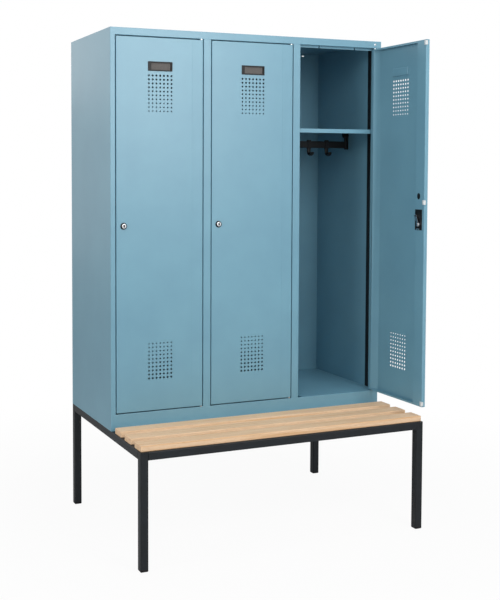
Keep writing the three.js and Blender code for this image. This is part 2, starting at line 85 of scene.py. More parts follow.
def linear(hex_colour: str) -> tuple[float, float, float, float]:
    """Turns an sRGB hex value into the linear colour that a shader takes.

    Args:
        hex_colour: Six hex digits after a hash.

    Returns:
        Red, green, blue and an alpha of 1.
    """
    parts = [int(hex_colour[start:start + 2], 16) / 255 for start in (1, 3, 5)]
    red, green, blue = (
        part / 12.92 if part <= 0.04045 else ((part + 0.055) / 1.055) ** 2.4 for part in parts
    )
    return red, green, blue, 1.0


def add_node(
    material: bpy.types.Material | bpy.types.World,
    kind: str,
    inputs: dict[str | int, Any] | None = None,
    stops: Sequence[tuple[float, str]] = (),
    **settings: Any,
) -> bpy.types.Node:
    """Adds a node with its settings, and links or sets its inputs.

    Args:
        material: What owns the node tree.
        kind: The node's type name.
        inputs: A socket to link from, or a plain value, for each input.
        stops: Places and hex colours of a colour ramp.
        settings: Properties of the node itself.

    Returns:
        The new node.
    """
    tree = material.node_tree
    node = tree.nodes.new(kind)
    for name, value in settings.items():
        setattr(node, name, value)
    for index, (place, colour) in enumerate(stops):
        elements = node.color_ramp.elements
        element = elements[index] if index < 2 else elements.new(place)
        element.position, element.color = place, linear(colour)
    for name, value in (inputs or {}).items():
        if isinstance(value, bpy.types.NodeSocket):
            tree.links.new(value, node.inputs[name])
        else:
            node.inputs[name].default_value = value
    return node


def per_metre(size_mm: float) -> float:
    """Gives the noise scale whose features are about this many millimetres wide."""
    return 1 / (size_mm * MM)


@dataclass(frozen=True)
class Finish:
    """A finish with an even colour, a slight mottle and a fine relief.

    Attributes:
        name: Name of the material in the scene.
        slot: Slot of the record that the finish belongs to.
        dark: Hex colour of the deeper patches.
        light: Hex colour of the lighter patches.
        roughness_low: Roughness where the surface is smoothest.
        roughness_high: Roughness where it is dullest.
        mottle_mm: Width of the patches.
        grain_mm: Width of the relief's bumps.
        grain_height_mm: Height of the relief.
        metallic: 1 for bare metal, 0 for anything else.
        ior: Index of refraction.
        mottle_detail: Octaves of finer noise in the patches.
        mottle_start: Noise value up to which a patch is dark.
        mottle_end: Noise value from which it is light.
    """

    name: str
    slot: str
    dark: str
    light: str
    roughness_low: float
    roughness_high: float
    mottle_mm: float
    grain_mm: float
    grain_height_mm: float
    metallic: float = 0.0
    ior: float = 1.5
    mottle_detail: float = 3.0
    mottle_start: float = 0.3
    mottle_end: float = 0.7

    def make(self) -> bpy.types.Material:
        """Builds the material.

        Returns:
            The finished material.
        """
        material = bpy.data.materials.new(self.name)
        material.use_nodes = True
        shader = material.node_tree.nodes["Principled BSDF"]
        place = add_node(material, "ShaderNodeTexCoord").outputs["Object"]
        mottle = add_node(material, "ShaderNodeTexNoise", {
            "Vector": place, "Scale": per_metre(self.mottle_mm), "Detail": self.mottle_detail,
        })
        grain = add_node(material, "ShaderNodeTexNoise", {
            "Vector": place, "Scale": per_metre(self.grain_mm), "Detail": 2.0,
        })
        colour = add_node(material, "ShaderNodeValToRGB", {"Fac": mottle.outputs["Fac"]}, [
            (self.mottle_start, self.dark), (self.mottle_end, self.light),
        ])
        dullness = add_node(material, "ShaderNodeMapRange", {
            "Value": grain.outputs["Fac"],
            "To Min": self.roughness_low,
            "To Max": self.roughness_high,
        })
        relief = add_node(material, "ShaderNodeBump", {
            "Height": grain.outputs["Fac"], "Distance": self.grain_height_mm * MM,
        })
        links = material.node_tree.links
        links.new(colour.outputs["Color"], shader.inputs["Base Color"])
        links.new(dullness.outputs["Result"], shader.inputs["Roughness"])
        links.new(relief.outputs["Normal"], shader.inputs["Normal"])
        shader.inputs["Metallic"].default_value = self.metallic
        if self.metallic < 1:
            shader.inputs["IOR"].default_value = self.ior
        return material


@dataclass(frozen=True)
class Beech:
    """Planed and lacquered beech: straight pale grain, short dark rays, rings at the sawn ends.

    Attributes:
        name: Name of the material in the scene.
        slot: Slot of the record that the finish belongs to.
        pale: Hex colour of early wood.
        warm: Hex colour of late wood.
        ray: Hex colour of the short rays.
        band_mm: Width of a growth band across the grain.
        band_length_mm: Length over which a band changes along the grain.
        band_detail: Octaves of finer noise in the bands.
        ray_mm: Width of a ray.
        ray_length_mm: Length of a ray.
        ray_start: Noise value from which a ray shows.
        ray_end: Noise value from which it shows fully.
        ray_share: How far a ray takes its own colour.
        grain_height_mm: Height of the relief.
        grain_strength: How far the relief shows through the lacquer.
        roughness: Roughness of the lacquer.
        ior: Index of refraction.
    """

    name: str = "beech_lacquered"
    slot: str = "beech"
    pale: str = "#e6c5a2"
    warm: str = "#d8ac7e"
    ray: str = "#b98c5c"
    band_mm: float = 9.0
    band_length_mm: float = 420.0
    band_detail: float = 4.0
    ray_mm: float = 1.1
    ray_length_mm: float = 14.0
    ray_start: float = 0.56
    ray_end: float = 0.72
    ray_share: float = 0.35
    grain_height_mm: float = 0.05
    grain_strength: float = 0.6
    roughness: float = 0.55
    ior: float = 1.42

    def make(self) -> bpy.types.Material:
        """Builds the material, with the grain along x.

        Returns:
            The finished material.
        """
        material = bpy.data.materials.new(self.name)
        material.use_nodes = True
        shader = material.node_tree.nodes["Principled BSDF"]
        place = add_node(material, "ShaderNodeTexCoord").outputs["Object"]
        bands = self._stretched(
            material, place, self.band_length_mm, self.band_mm, self.band_detail
        )
        rays = self._stretched(material, place, self.ray_length_mm, self.ray_mm, 1.0)
        # A ramp's own two stops are its outer ones, and those between them are added after
        wood = add_node(material, "ShaderNodeValToRGB", {"Fac": bands}, [
            (0.32, self.warm), (0.75, self.warm), (0.5, self.pale), (0.62, self.pale),
        ])
        ray_share = add_node(material, "ShaderNodeMapRange", {
            "Value": rays,
            "From Min": self.ray_start,
            "From Max": self.ray_end,
            "To Max": self.ray_share,
        })
        flecked = add_node(material, "ShaderNodeMix", {
            0: ray_share.outputs["Result"], 6: wood.outputs["Color"], 7: linear(self.ray),
        }, data_type="RGBA")
        relief = add_node(material, "ShaderNodeBump", {
            "Height": bands,
            "Strength": self.grain_strength,
            "Distance": self.grain_height_mm * MM,
        })
        links = material.node_tree.links
        links.new(flecked.outputs[2], shader.inputs["Base Color"])
        links.new(relief.outputs["Normal"], shader.inputs["Normal"])
        shader.inputs["Roughness"].default_value = self.roughness
        shader.inputs["IOR"].default_value = self.ior
        return material

    def _stretched(
        self,
        material: bpy.types.Material,
        place: bpy.types.NodeSocket,
        length_mm: float,
        width_mm: float,
        detail: float,
    ) -> bpy.types.NodeSocket:
        """Makes noise that is long along the grain and narrow across it.

        Args:
            material: What owns the node tree.
            place: Object coordinates.
            length_mm: Size of a feature along x.
            width_mm: Size of a feature across x.
            detail: Octaves of finer noise.

        Returns:
            The noise value.
        """
        across = per_metre(width_mm)
        mapped = add_node(material, "ShaderNodeMapping", {
            "Vector": place, "Scale": (per_metre(length_mm), across, across),
        })
        noise = add_node(material, "ShaderNodeTexNoise", {
            "Vector": mapped.outputs["Vector"], "Scale": 1.0, "Detail": detail,
        })
        return noise.outputs["Fac"]


class Finishes(Enum):
    """The finishes of the locker, each worn by the pieces of its kind."""

    # Polyester powder coat on steel: even, satin, with a faint orange peel, drawn at 2 mm
    LOCKER_BLUE = Finish(
        "powder_coat_blue", "locker_blue", "#6a98ac", "#6f9eb1",
        0.34, 0.42, 160, 2.0, 0.006, ior=1.58,
    )
    # Fine structure powder coat on tube: dull and nearly black, so only its edges catch light
    FRAME_GREY = Finish(
        "powder_coat_anthracite", "frame_grey", "#0a1014", "#10171d",
        0.42, 0.52, 60, 1.2, 0.02, ior=1.4,
    )
    # Planed beech under clear lacquer: warm bands along the slats, flecked with short rays
    BEECH = Beech()
    # Moulded polyamide with a spark-eroded grain: soft highlights. The black strips on the
    # hinge-side walls wear it too, as painted shade
    BLACK_PLASTIC = Finish(
        "moulded_polyamide_black", "black_plastic", "#08090a", "#0d0e10",
        0.4, 0.5, 30, 0.8, 0.01, ior=1.36,
    )
    # Bright chrome on die-cast zinc: mirrors the studio, with the slight haze of handling
    CHROME = Finish(
        "chrome_plate", "chrome", "#dfe1e4", "#eceef0", 0.06, 0.12, 6, 1.5, 0.0008, metallic=1.0
    )
    # Bright zinc plate on pressed steel: cool pale grey with cloudy patches
    ZINC = Finish(
        "zinc_plate", "zinc_steel", "#ced2d6", "#e2e5e8", 0.2, 0.3, 5, 0.9, 0.004, metallic=1.0
    )
    # Moulded polyethylene, slightly waxy
    WHITE_PLASTIC = Finish(
        "moulded_polyethylene_white", "white_plastic", "#c6cbcd", "#d2d6d7",
        0.35, 0.45, 12, 1.0, 0.004,
    )
    # Uncoated card stock: fibres give it a dry, faintly cloudy surface
    CARD = Finish("card_stock_grey", "label_card", "#504c4a", "#5a5653", 0.6, 0.7, 4, 0.6, 0.01)


# Workshop


class Axis(Enum):
    """A direction, with the turn that makes a profile run along it."""

    X = ((0, 0, 1), (1, 0, 0), (0, 1, 0))
    Y = ((0, 1, 0), (0, 0, 1), (1, 0, 0))
    Z = ((1, 0, 0), (0, 1, 0), (0, 0, 1))

    @property
    def index(self) -> int:
        """Place of this axis among x, y and z."""
        return "XYZ".index(self.name)

    def matrix(self) -> Matrix:
        """Gives the turn from across, up and along to x, y and z."""
        return Matrix(self.value).to_4x4()


class Element(Enum):
    """The kinds of mesh element that can be picked."""

    EDGE = "EDGE"
    FACE = "FACE"


class Joining(Enum):
    """The ways to combine two solids."""

    UNION = "UNION"
    DIFFERENCE = "DIFFERENCE"


@dataclass(frozen=True)
class Spot:
    """Where a mesh element lies, in millimetres.

    Attributes:
        low: Its lowest corner.
        high: Its highest corner.
        normal: A face's normal, or an edge's direction.
        angle: The angle between an edge's faces in radians, or 0.
        rim: Whether an edge has only one face.
    """

    low: Vector
    high: Vector
    normal: Vector
    angle: float = 0.0
    rim: bool = False

    def at(self, axis: Axis, value: float) -> bool:
        """Tells whether the whole element lies at one value of an axis."""
        ends = self.low[axis.index], self.high[axis.index]
        return all(abs(end - value) < SAME_PLACE for end in ends)

    def along(self, axis: Axis) -> bool:
        """Tells whether a face looks, or an edge runs, along an axis."""
        return abs(self.normal[axis.index]) > SAME_WAY


Test = Callable[[Spot], bool]


class Workpiece:
    """One mesh that is shaped step by step with Blender's operators."""

    def __init__(self, item: bpy.types.Object, name: str) -> None:
        """Takes over an object.

        Args:
            item: The mesh object.
            name: Its new name.
        """
        self.item = item
        self.item.name = name
        self.item.data.name = name

    @staticmethod
    def deselect() -> None:
        """Leaves edit mode and deselects everything."""
        if bpy.context.mode != "OBJECT":
            bpy.ops.object.mode_set(mode="OBJECT")
        bpy.ops.object.select_all(action="DESELECT")

    @classmethod
    def box(cls, name: str, low: Sequence[float], high: Sequence[float]) -> "Workpiece":
        """Adds a box between two corners.

        Args:
            name: Name of the piece.
            low: Lowest corner in millimetres.
            high: Highest corner in millimetres.

        Returns:
            The new workpiece.
        """
        cls.deselect()
        corner, size = metres(low), metres(high) - metres(low)
        bpy.ops.mesh.primitive_cube_add(size=1, location=corner + size / 2)
        piece = cls(bpy.context.object, name)
        piece.item.scale = size
        return piece.settle()

    @classmethod
    def folded(
        cls,
        name: str,
        line: Sequence[tuple[float, float]],
        run: tuple[float, float],
        axis: Axis,
        sheet: float,
        bend: float,
    ) -> "Workpiece":
        """Folds a sheet along a line and gives it its thickness on the left of the line.

        Args:
            name: Name of the piece.
            line: Points of the outer surface, across and up.
            run: Where the profile starts and stops along its axis.
            axis: The direction of the profile.
            sheet: Thickness of the sheet.
            bend: Radius of the folds.

        Returns:
            The folded sheet.
        """
        cls.deselect()
        first, second = Vector(line[0]), Vector(line[1])
        reach = second - first
        middle = (first + second) / 2
        bpy.ops.mesh.primitive_plane_add(
            size=1,
            location=metres((middle.x, middle.y, sum(run) / 2)),
            rotation=(math.pi / 2, 0, math.atan2(reach.y, reach.x)),
        )
        piece = cls(bpy.context.object, name)
        piece.item.scale = metres((reach.length, run[1] - run[0], 1 / MM))
        piece.settle()
        for here, there in zip(line[1:], line[2:]):
            step = (there[0] - here[0], there[1] - here[1], 0)
            piece.extrude(
                lambda spot, end=here: spot.at(Axis.X, end[0]) and spot.at(Axis.Y, end[1]), step
            )
        if bend > 0:
            piece.bevel(lambda spot: not spot.rim and spot.angle > FOLD_ANGLE, bend)
        return piece.thicken(sheet).settle(axis.matrix())

    @classmethod
    def turned(
        cls,
        name: str,
        profile: Sequence[tuple[float, float]],
        centre: Sequence[float],
        axis: Axis,
        sides: int = 32,
    ) -> "Workpiece":
        """Draws a disc out into a round solid, step by step.

        Args:
            name: Name of the piece.
            profile: Radius and height of each step.
            centre: Where the axis crosses the plane of height zero.
            axis: The direction of the axis.
            sides: Facets round the solid.

        Returns:
            The round solid.
        """
        cls.deselect()
        radius, height = profile[0]
        bpy.ops.mesh.primitive_circle_add(
            vertices=sides, radius=radius * MM, fill_type="NGON", location=(0, 0, height * MM)
        )
        piece = cls(bpy.context.object, name)
        piece.settle()
        with piece.picked(Element.FACE, lambda spot: True):
            for next_radius, next_height in profile[1:]:
                bpy.ops.mesh.extrude_region_move(
                    TRANSFORM_OT_translate={"value": (0, 0, (next_height - height) * MM)}
                )
                share = next_radius / radius
                bpy.ops.transform.resize(
                    value=(share, share, 1), center_override=(0, 0, next_height * MM)
                )
                radius, height = next_radius, next_height
            bpy.ops.mesh.select_all(action="SELECT")
            bpy.ops.mesh.normals_make_consistent(inside=False)
        return piece.settle(Matrix.Translation(metres(centre)) @ axis.matrix())

    @classmethod
    def rod(
        cls,
        radius: float,
        run: tuple[float, float],
        centre: Sequence[float],
        axis: Axis,
        sides: int = HOLE_SIDES,
    ) -> "Workpiece":
        """Makes a plain round cutter.

        Args:
            radius: Its radius.
            run: Where it starts and stops along its axis.
            centre: Where the axis crosses the plane of height zero.
            axis: The direction of the axis.
            sides: Facets round the cutter.

        Returns:
            The cutter.
        """
        return cls.turned("cutter", [(radius, end) for end in run], centre, axis, sides)

    def activate(self) -> None:
        """Selects this piece alone and makes it active."""
        self.deselect()
        self.item.select_set(True)
        bpy.context.view_layer.objects.active = self.item

    def settle(self, matrix: Matrix | None = None) -> "Workpiece":
        """Moves the piece by a matrix and writes its place into its mesh.

        Args:
            matrix: The move, or None for where it stands.

        Returns:
            This workpiece.
        """
        self.activate()
        bpy.context.view_layer.update()
        if matrix is not None:
            self.item.matrix_world = matrix @ self.item.matrix_world
        bpy.ops.object.transform_apply(location=True, rotation=True, scale=True)
        return self

    @contextmanager
    def picked(self, kind: Element, test: Test) -> Iterator[None]:
        """Opens edit mode with the elements selected that pass a test.

        Args:
            kind: The kind of element.
            test: Tells from an element's place whether it is picked.

        Yields:
            Nothing. The piece is in edit mode meanwhile.
        """
        self.activate()
        bpy.ops.object.mode_set(mode="EDIT")
        bpy.ops.mesh.select_mode(type=kind.value)
        bpy.ops.mesh.select_all(action="DESELECT")
        mesh = bmesh.from_edit_mesh(self.item.data)
        for element in mesh.edges if kind is Element.EDGE else mesh.faces:
            if test(self._spot(kind, element)):
                element.select_set(True)
        mesh.select_flush_mode()
        bmesh.update_edit_mesh(self.item.data)
        yield
        bpy.ops.object.mode_set(mode="OBJECT")

    @staticmethod
    def _spot(kind: Element, element: Any) -> Spot:
        """Measures where an element lies.

        Args:
            kind: The kind of element.
            element: An edge or face in edit mode.

        Returns:
            Its place.
        """
        points = [vertex.co for vertex in element.verts]
        low = Vector([min(values) / MM for values in zip(*points)])
        high = Vector([max(values) / MM for values in zip(*points)])
        if kind is Element.FACE:
            return Spot(low, high, element.normal.copy())
        direction = (points[1] - points[0]).normalized()
        return Spot(low, high, direction, element.calc_face_angle(0.0), element.is_boundary)

    def extrude(self, test: Test, step: Sequence[float]) -> "Workpiece":
        """Extrudes the picked edges.

        Args:
            test: Picks the edges.
            step: How far they move, in millimetres.

        Returns:
            This workpiece.
        """
        with self.picked(Element.EDGE, test):
            bpy.ops.mesh.extrude_region_move(TRANSFORM_OT_translate={"value": metres(step)})
        return self

    def bevel(self, test: Test, width: float, segments: int = 3) -> "Workpiece":
        """Rounds the picked edges.

        Args:
            test: Picks the edges.
            width: How far the rounding reaches from each edge.
            segments: Facets across the rounding.

        Returns:
            This workpiece.
        """
        with self.picked(Element.EDGE, test):
            bpy.ops.mesh.bevel(
                offset=width * MM, segments=segments, affect="EDGES", offset_type="OFFSET"
            )
        return self

    def remove(self, test: Test) -> "Workpiece":
        """Deletes the picked faces.

        Args:
            test: Picks the faces.

        Returns:
            This workpiece.
        """
        with self.picked(Element.FACE, test):
            bpy.ops.mesh.delete(type="FACE")
        return self

    def thicken(self, wall: float) -> "Workpiece":
        """Gives a surface its thickness, inwards."""
        return self.modify("SOLIDIFY", thickness=wall * MM, offset=-1, use_even_offset=True)

    def modify(self, kind: str, **settings: Any) -> "Workpiece":
        """Adds a modifier and applies it.

        Args:
            kind: The modifier's type name.
            settings: Its properties.

        Returns:
            This workpiece.
        """
        self.activate()
        bpy.ops.object.modifier_add(type=kind)
        modifier = self.item.modifiers[-1]
        for name, value in settings.items():
            setattr(modifier, name, value)
        bpy.ops.object.modifier_apply(modifier=modifier.name)
        return self

    def combine(self, other: "Workpiece", joining: Joining) -> "Workpiece":
        """Joins or cuts this solid with another, which is used up.

        Args:
            other: The other solid.
            joining: Whether it is added or taken away.

        Returns:
            This workpiece.
        """
        self.modify("BOOLEAN", operation=joining.value, solver="MANIFOLD", object=other.item)
        bpy.data.objects.remove(other.item)
        return self

    def add(self, *others: "Workpiece") -> "Workpiece":
        """Adds other solids to this one.

        Args:
            others: The other solids, which are used up.

        Returns:
            This workpiece.
        """
        for other in others:
            self.combine(other, Joining.UNION)
        return self

    def cut(self, *others: "Workpiece") -> "Workpiece":
        """Cuts other solids, which don't touch each other, out of this one."""
        return self.combine(others[0].gather(*others[1:]), Joining.DIFFERENCE)

    def gather(self, *others: "Workpiece") -> "Workpiece":
        """Puts other meshes into this one without joining their surfaces.

        Args:
            others: The other meshes, which are used up.

        Returns:
            This workpiece.
        """
        if others:
            self.activate()
            for other in others:
                other.item.select_set(True)
            bpy.ops.object.join()
        return self

    def copy(self, name: str) -> "Workpiece":
        """Copies the piece with its own mesh.

        Args:
            name: Name of the copy.

        Returns:
            The copy.
        """
        self.activate()
        bpy.ops.object.duplicate(linked=False)
        return Workpiece(bpy.context.object, name)

    def smooth(self, angle: float = 35.0) -> "Workpiece":
        """Shades smooth across flat edges, and keeps flat faces flat.

        Args:
            angle: Degrees over which an edge stays sharp.

        Returns:
            This workpiece.
        """
        self.activate()
        bpy.ops.object.shade_smooth_by_angle(angle=math.radians(angle))
        return self.modify("WEIGHTED_NORMAL", keep_sharp=True)


class Shop:
    """Hands out materials and puts finished pieces on the object."""

    def __init__(self) -> None:
        """Starts with no material made."""
        self.materials: dict[Finishes, bpy.types.Material] = {}

    def material(self, finish: Finishes) -> bpy.types.Material:
        """Gives the material of a finish, made on first use.

        Args:
            finish: The finish.

        Returns:
            Its material.
        """
        if finish not in self.materials:
            self.materials[finish] = finish.value.make()
        return self.materials[finish]

    def deliver(
        self,
        piece: Workpiece,
        finish: Finishes,
        body: str = "root",
        nodes: Sequence[str] = (),
        place: Matrix | None = None,
    ) -> None:
        """Puts a finished piece on a body of the object.

        Args:
            piece: The piece, in locker millimetres or in its own.
            finish: What it wears.
            body: The CAD body that it moves with.
            nodes: CAD nodes that it stands for.
            place: Where it goes on the locker, if it was made elsewhere.
        """
        piece.settle(Matrix.Translation(ORIGIN) @ (place or Matrix.Identity(4)))
        piece.item.data.materials.clear()
        piece.item.data.materials.append(self.material(finish))
        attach(piece.item, body)
        if nodes:
            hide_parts(*nodes)
        log.info("made %s with %d faces", piece.item.name, len(piece.item.data.polygons))


# Sizes


@dataclass(frozen=True)
class Body:
    """Sizes of the locker body that its sheets share, in millimetres."""

    width: float = 1190.0
    depth: float = 500.0
    height: float = 1522.0
    sheet: float = 0.8
    bend: float = 1.2
    side_stile: float = 19.0
    post: float = 31.0
    top_rail: float = 28.0
    plinth: float = 62.0
    rebate: float = 20.0
    stop: float = 11.0
    rear_flange: float = 20.0
    foot_flange: float = 20.0
    compartments: int = 3
    side_gap: float = 3.0
    pivot_inset: float = 5.0
    pivot_hole: float = 3.3

    @property
    def opening(self) -> float:
        """Width of a door opening."""
        posts = (self.compartments - 1) * self.post
        return (self.width - 2 * self.side_stile - posts) / self.compartments

    @property
    def opening_top(self) -> float:
        """Height of the upper edge of the openings."""
        return self.height - self.top_rail

    @property
    def stop_back(self) -> float:
        """Depth of the back of the stops."""
        return self.rebate + self.sheet

    @property
    def back_front(self) -> float:
        """Depth of the front of the back panel."""
        return self.depth - 2 * self.sheet

    def left(self, number: int) -> float:
        """Gives the left edge of an opening."""
        return self.side_stile + (number - 1) * (self.opening + self.post)

    def right(self, number: int) -> float:
        """Gives the right edge of an opening."""
        return self.left(number) + self.opening

    def left_wall(self, number: int) -> float:
        """Gives the inner face of the wall on the left of a compartment."""
        return self.sheet if number == 1 else self.left(number) - (self.post - self.sheet) / 2

    def right_wall(self, number: int) -> float:
        """Gives the inner face of the wall on the right of a compartment.

        Args:
            number: The compartment.

        Returns:
            Its place across.
        """
        if number == self.compartments:
            return self.width - self.sheet
        return self.right(number) + (self.post - self.sheet) / 2

    def pivot(self, number: int) -> tuple[float, float]:
        """Gives the place of a door's pivot in plan."""
        return self.right(number) - self.side_gap - self.pivot_inset, self.pivot_inset


BODY = Body()


# Bench


@dataclass
class Bench:
    """Welded tube frame with plastic feet and three beech slats."""

    shop: Shop
    reach: float = 315.0
    tube: float = 30.0
    wall: float = 2.0
    corner: float = 3.0
    leg: float = 420.0
    foot: float = 8.0
    foot_rounding: float = 4.0
    plug_gap: float = 0.3
    plug_height: float = 14.0
    slats: int = 3
    slat_width: float = 65.0
    slat_thickness: float = 22.0
    slat_rounding: float = 2.2
    slat_end: float = 4.0
    slat_front: float = 8.0
    slat_rear: float = 35.0

    def build(self) -> None:
        """Makes the legs, feet, rails and slats."""
        left, right = 0.0, BODY.width - self.tube
        front, rear = -self.reach, BODY.depth - self.tube
        for end_y, y in (("front", front), ("rear", rear)):
            for end_x, x in (("left", left), ("right", right)):
                name = f"{end_y}_{end_x}"
                leg, foot = self.make_leg(name, x, y), self.make_foot(name, x, y)
                self.shop.deliver(leg, Finishes.FRAME_GREY, nodes=[f"leg_{name}"])
                self.shop.deliver(foot, Finishes.BLACK_PLASTIC, nodes=[f"foot_cap_{name}"])
        for name, y in (("front", front), ("middle", 0.0), ("rear", rear)):
            low, high = (self.tube, y, -self.tube), (right, y + self.tube, 0)
            rail = self.make_rail(name, low, high, Axis.X)
            self.shop.deliver(rail, Finishes.FRAME_GREY, nodes=[f"rail_{name}"])
        for name, x in (("left", left), ("right", right)):
            low, high = (x, front + self.tube, -self.tube), (x + self.tube, rear, 0)
            rail = self.make_rail(name, low, high, Axis.Y)
            self.shop.deliver(rail, Finishes.FRAME_GREY, nodes=[f"rail_{name}"])
        self.make_slats()

    def make_leg(self, name: str, left: float, front: float) -> Workpiece:
        """Makes a leg, closed at the top and open at the foot.

        Args:
            name: Which leg.
            left: Its left side.
            front: Its front.

        Returns:
            The leg.
        """
        high = (left + self.tube, front + self.tube, 0)
        leg = Workpiece.box(f"tube_leg_{name}", (left, front, -self.leg), high)
        leg.bevel(lambda spot: spot.along(Axis.Z), self.corner)
        leg.remove(lambda spot: spot.at(Axis.Z, -self.leg))
        return leg.thicken(self.wall)

    def make_rail(
        self, name: str, low: Sequence[float], high: Sequence[float], along: Axis
    ) -> Workpiece:
        """Makes a rail that is open at both ends, where the legs close it.

        Args:
            name: Which rail.
            low: Its lowest corner.
            high: Its highest corner.
            along: The axis that it runs along.

        Returns:
            The rail.
        """
        rail = Workpiece.box(f"tube_rail_{name}", low, high)
        rail.bevel(lambda spot: spot.along(along), self.corner)
        rail.remove(lambda spot: spot.along(along))
        return rail.thicken(self.wall)

    def make_foot(self, name: str, left: float, front: float) -> Workpiece:
        """Makes a foot cap with a rounded sole and a plug that sits in the leg.

        Args:
            name: Which foot.
            left: Its left side.
            front: Its front.

        Returns:
            The foot cap.
        """
        low = (left, front, -self.leg - self.foot)
        sole = Workpiece.box(f"foot_{name}", low, (left + self.tube, front + self.tube, -self.leg))
        sole.bevel(lambda spot: spot.along(Axis.Z), self.corner)
        sole.bevel(lambda spot: spot.at(Axis.Z, low[2]), self.foot_rounding)
        inset = self.wall + self.plug_gap
        plug = Workpiece.box(
            "plug",
            (left + inset, front + inset, -self.leg - self.foot / 2),
            (left + self.tube - inset, front + self.tube - inset, self.plug_height - self.leg),
        )
        return sole.add(plug).smooth()

    def make_slats(self) -> None:
        """Makes one slat and sets its copies behind it."""
        first = self.slat_front - self.reach
        pitch = (-self.slat_rear - self.slat_width - first) / (self.slats - 1)
        slat = Workpiece.box(
            "seat_slat_1",
            (self.slat_end, first, 0),
            (BODY.width - self.slat_end, first + self.slat_width, self.slat_thickness),
        )
        slat.bevel(lambda spot: True, self.slat_rounding, 4)
        copies = [slat.copy(f"seat_slat_{number}") for number in range(2, self.slats + 1)]
        for index, piece in enumerate([slat, *copies]):
            back = Matrix.Translation(metres((0, index * pitch, 0)))
            self.shop.deliver(piece, Finishes.BEECH, nodes=[f"slat_{index + 1}"], place=back)


# Body


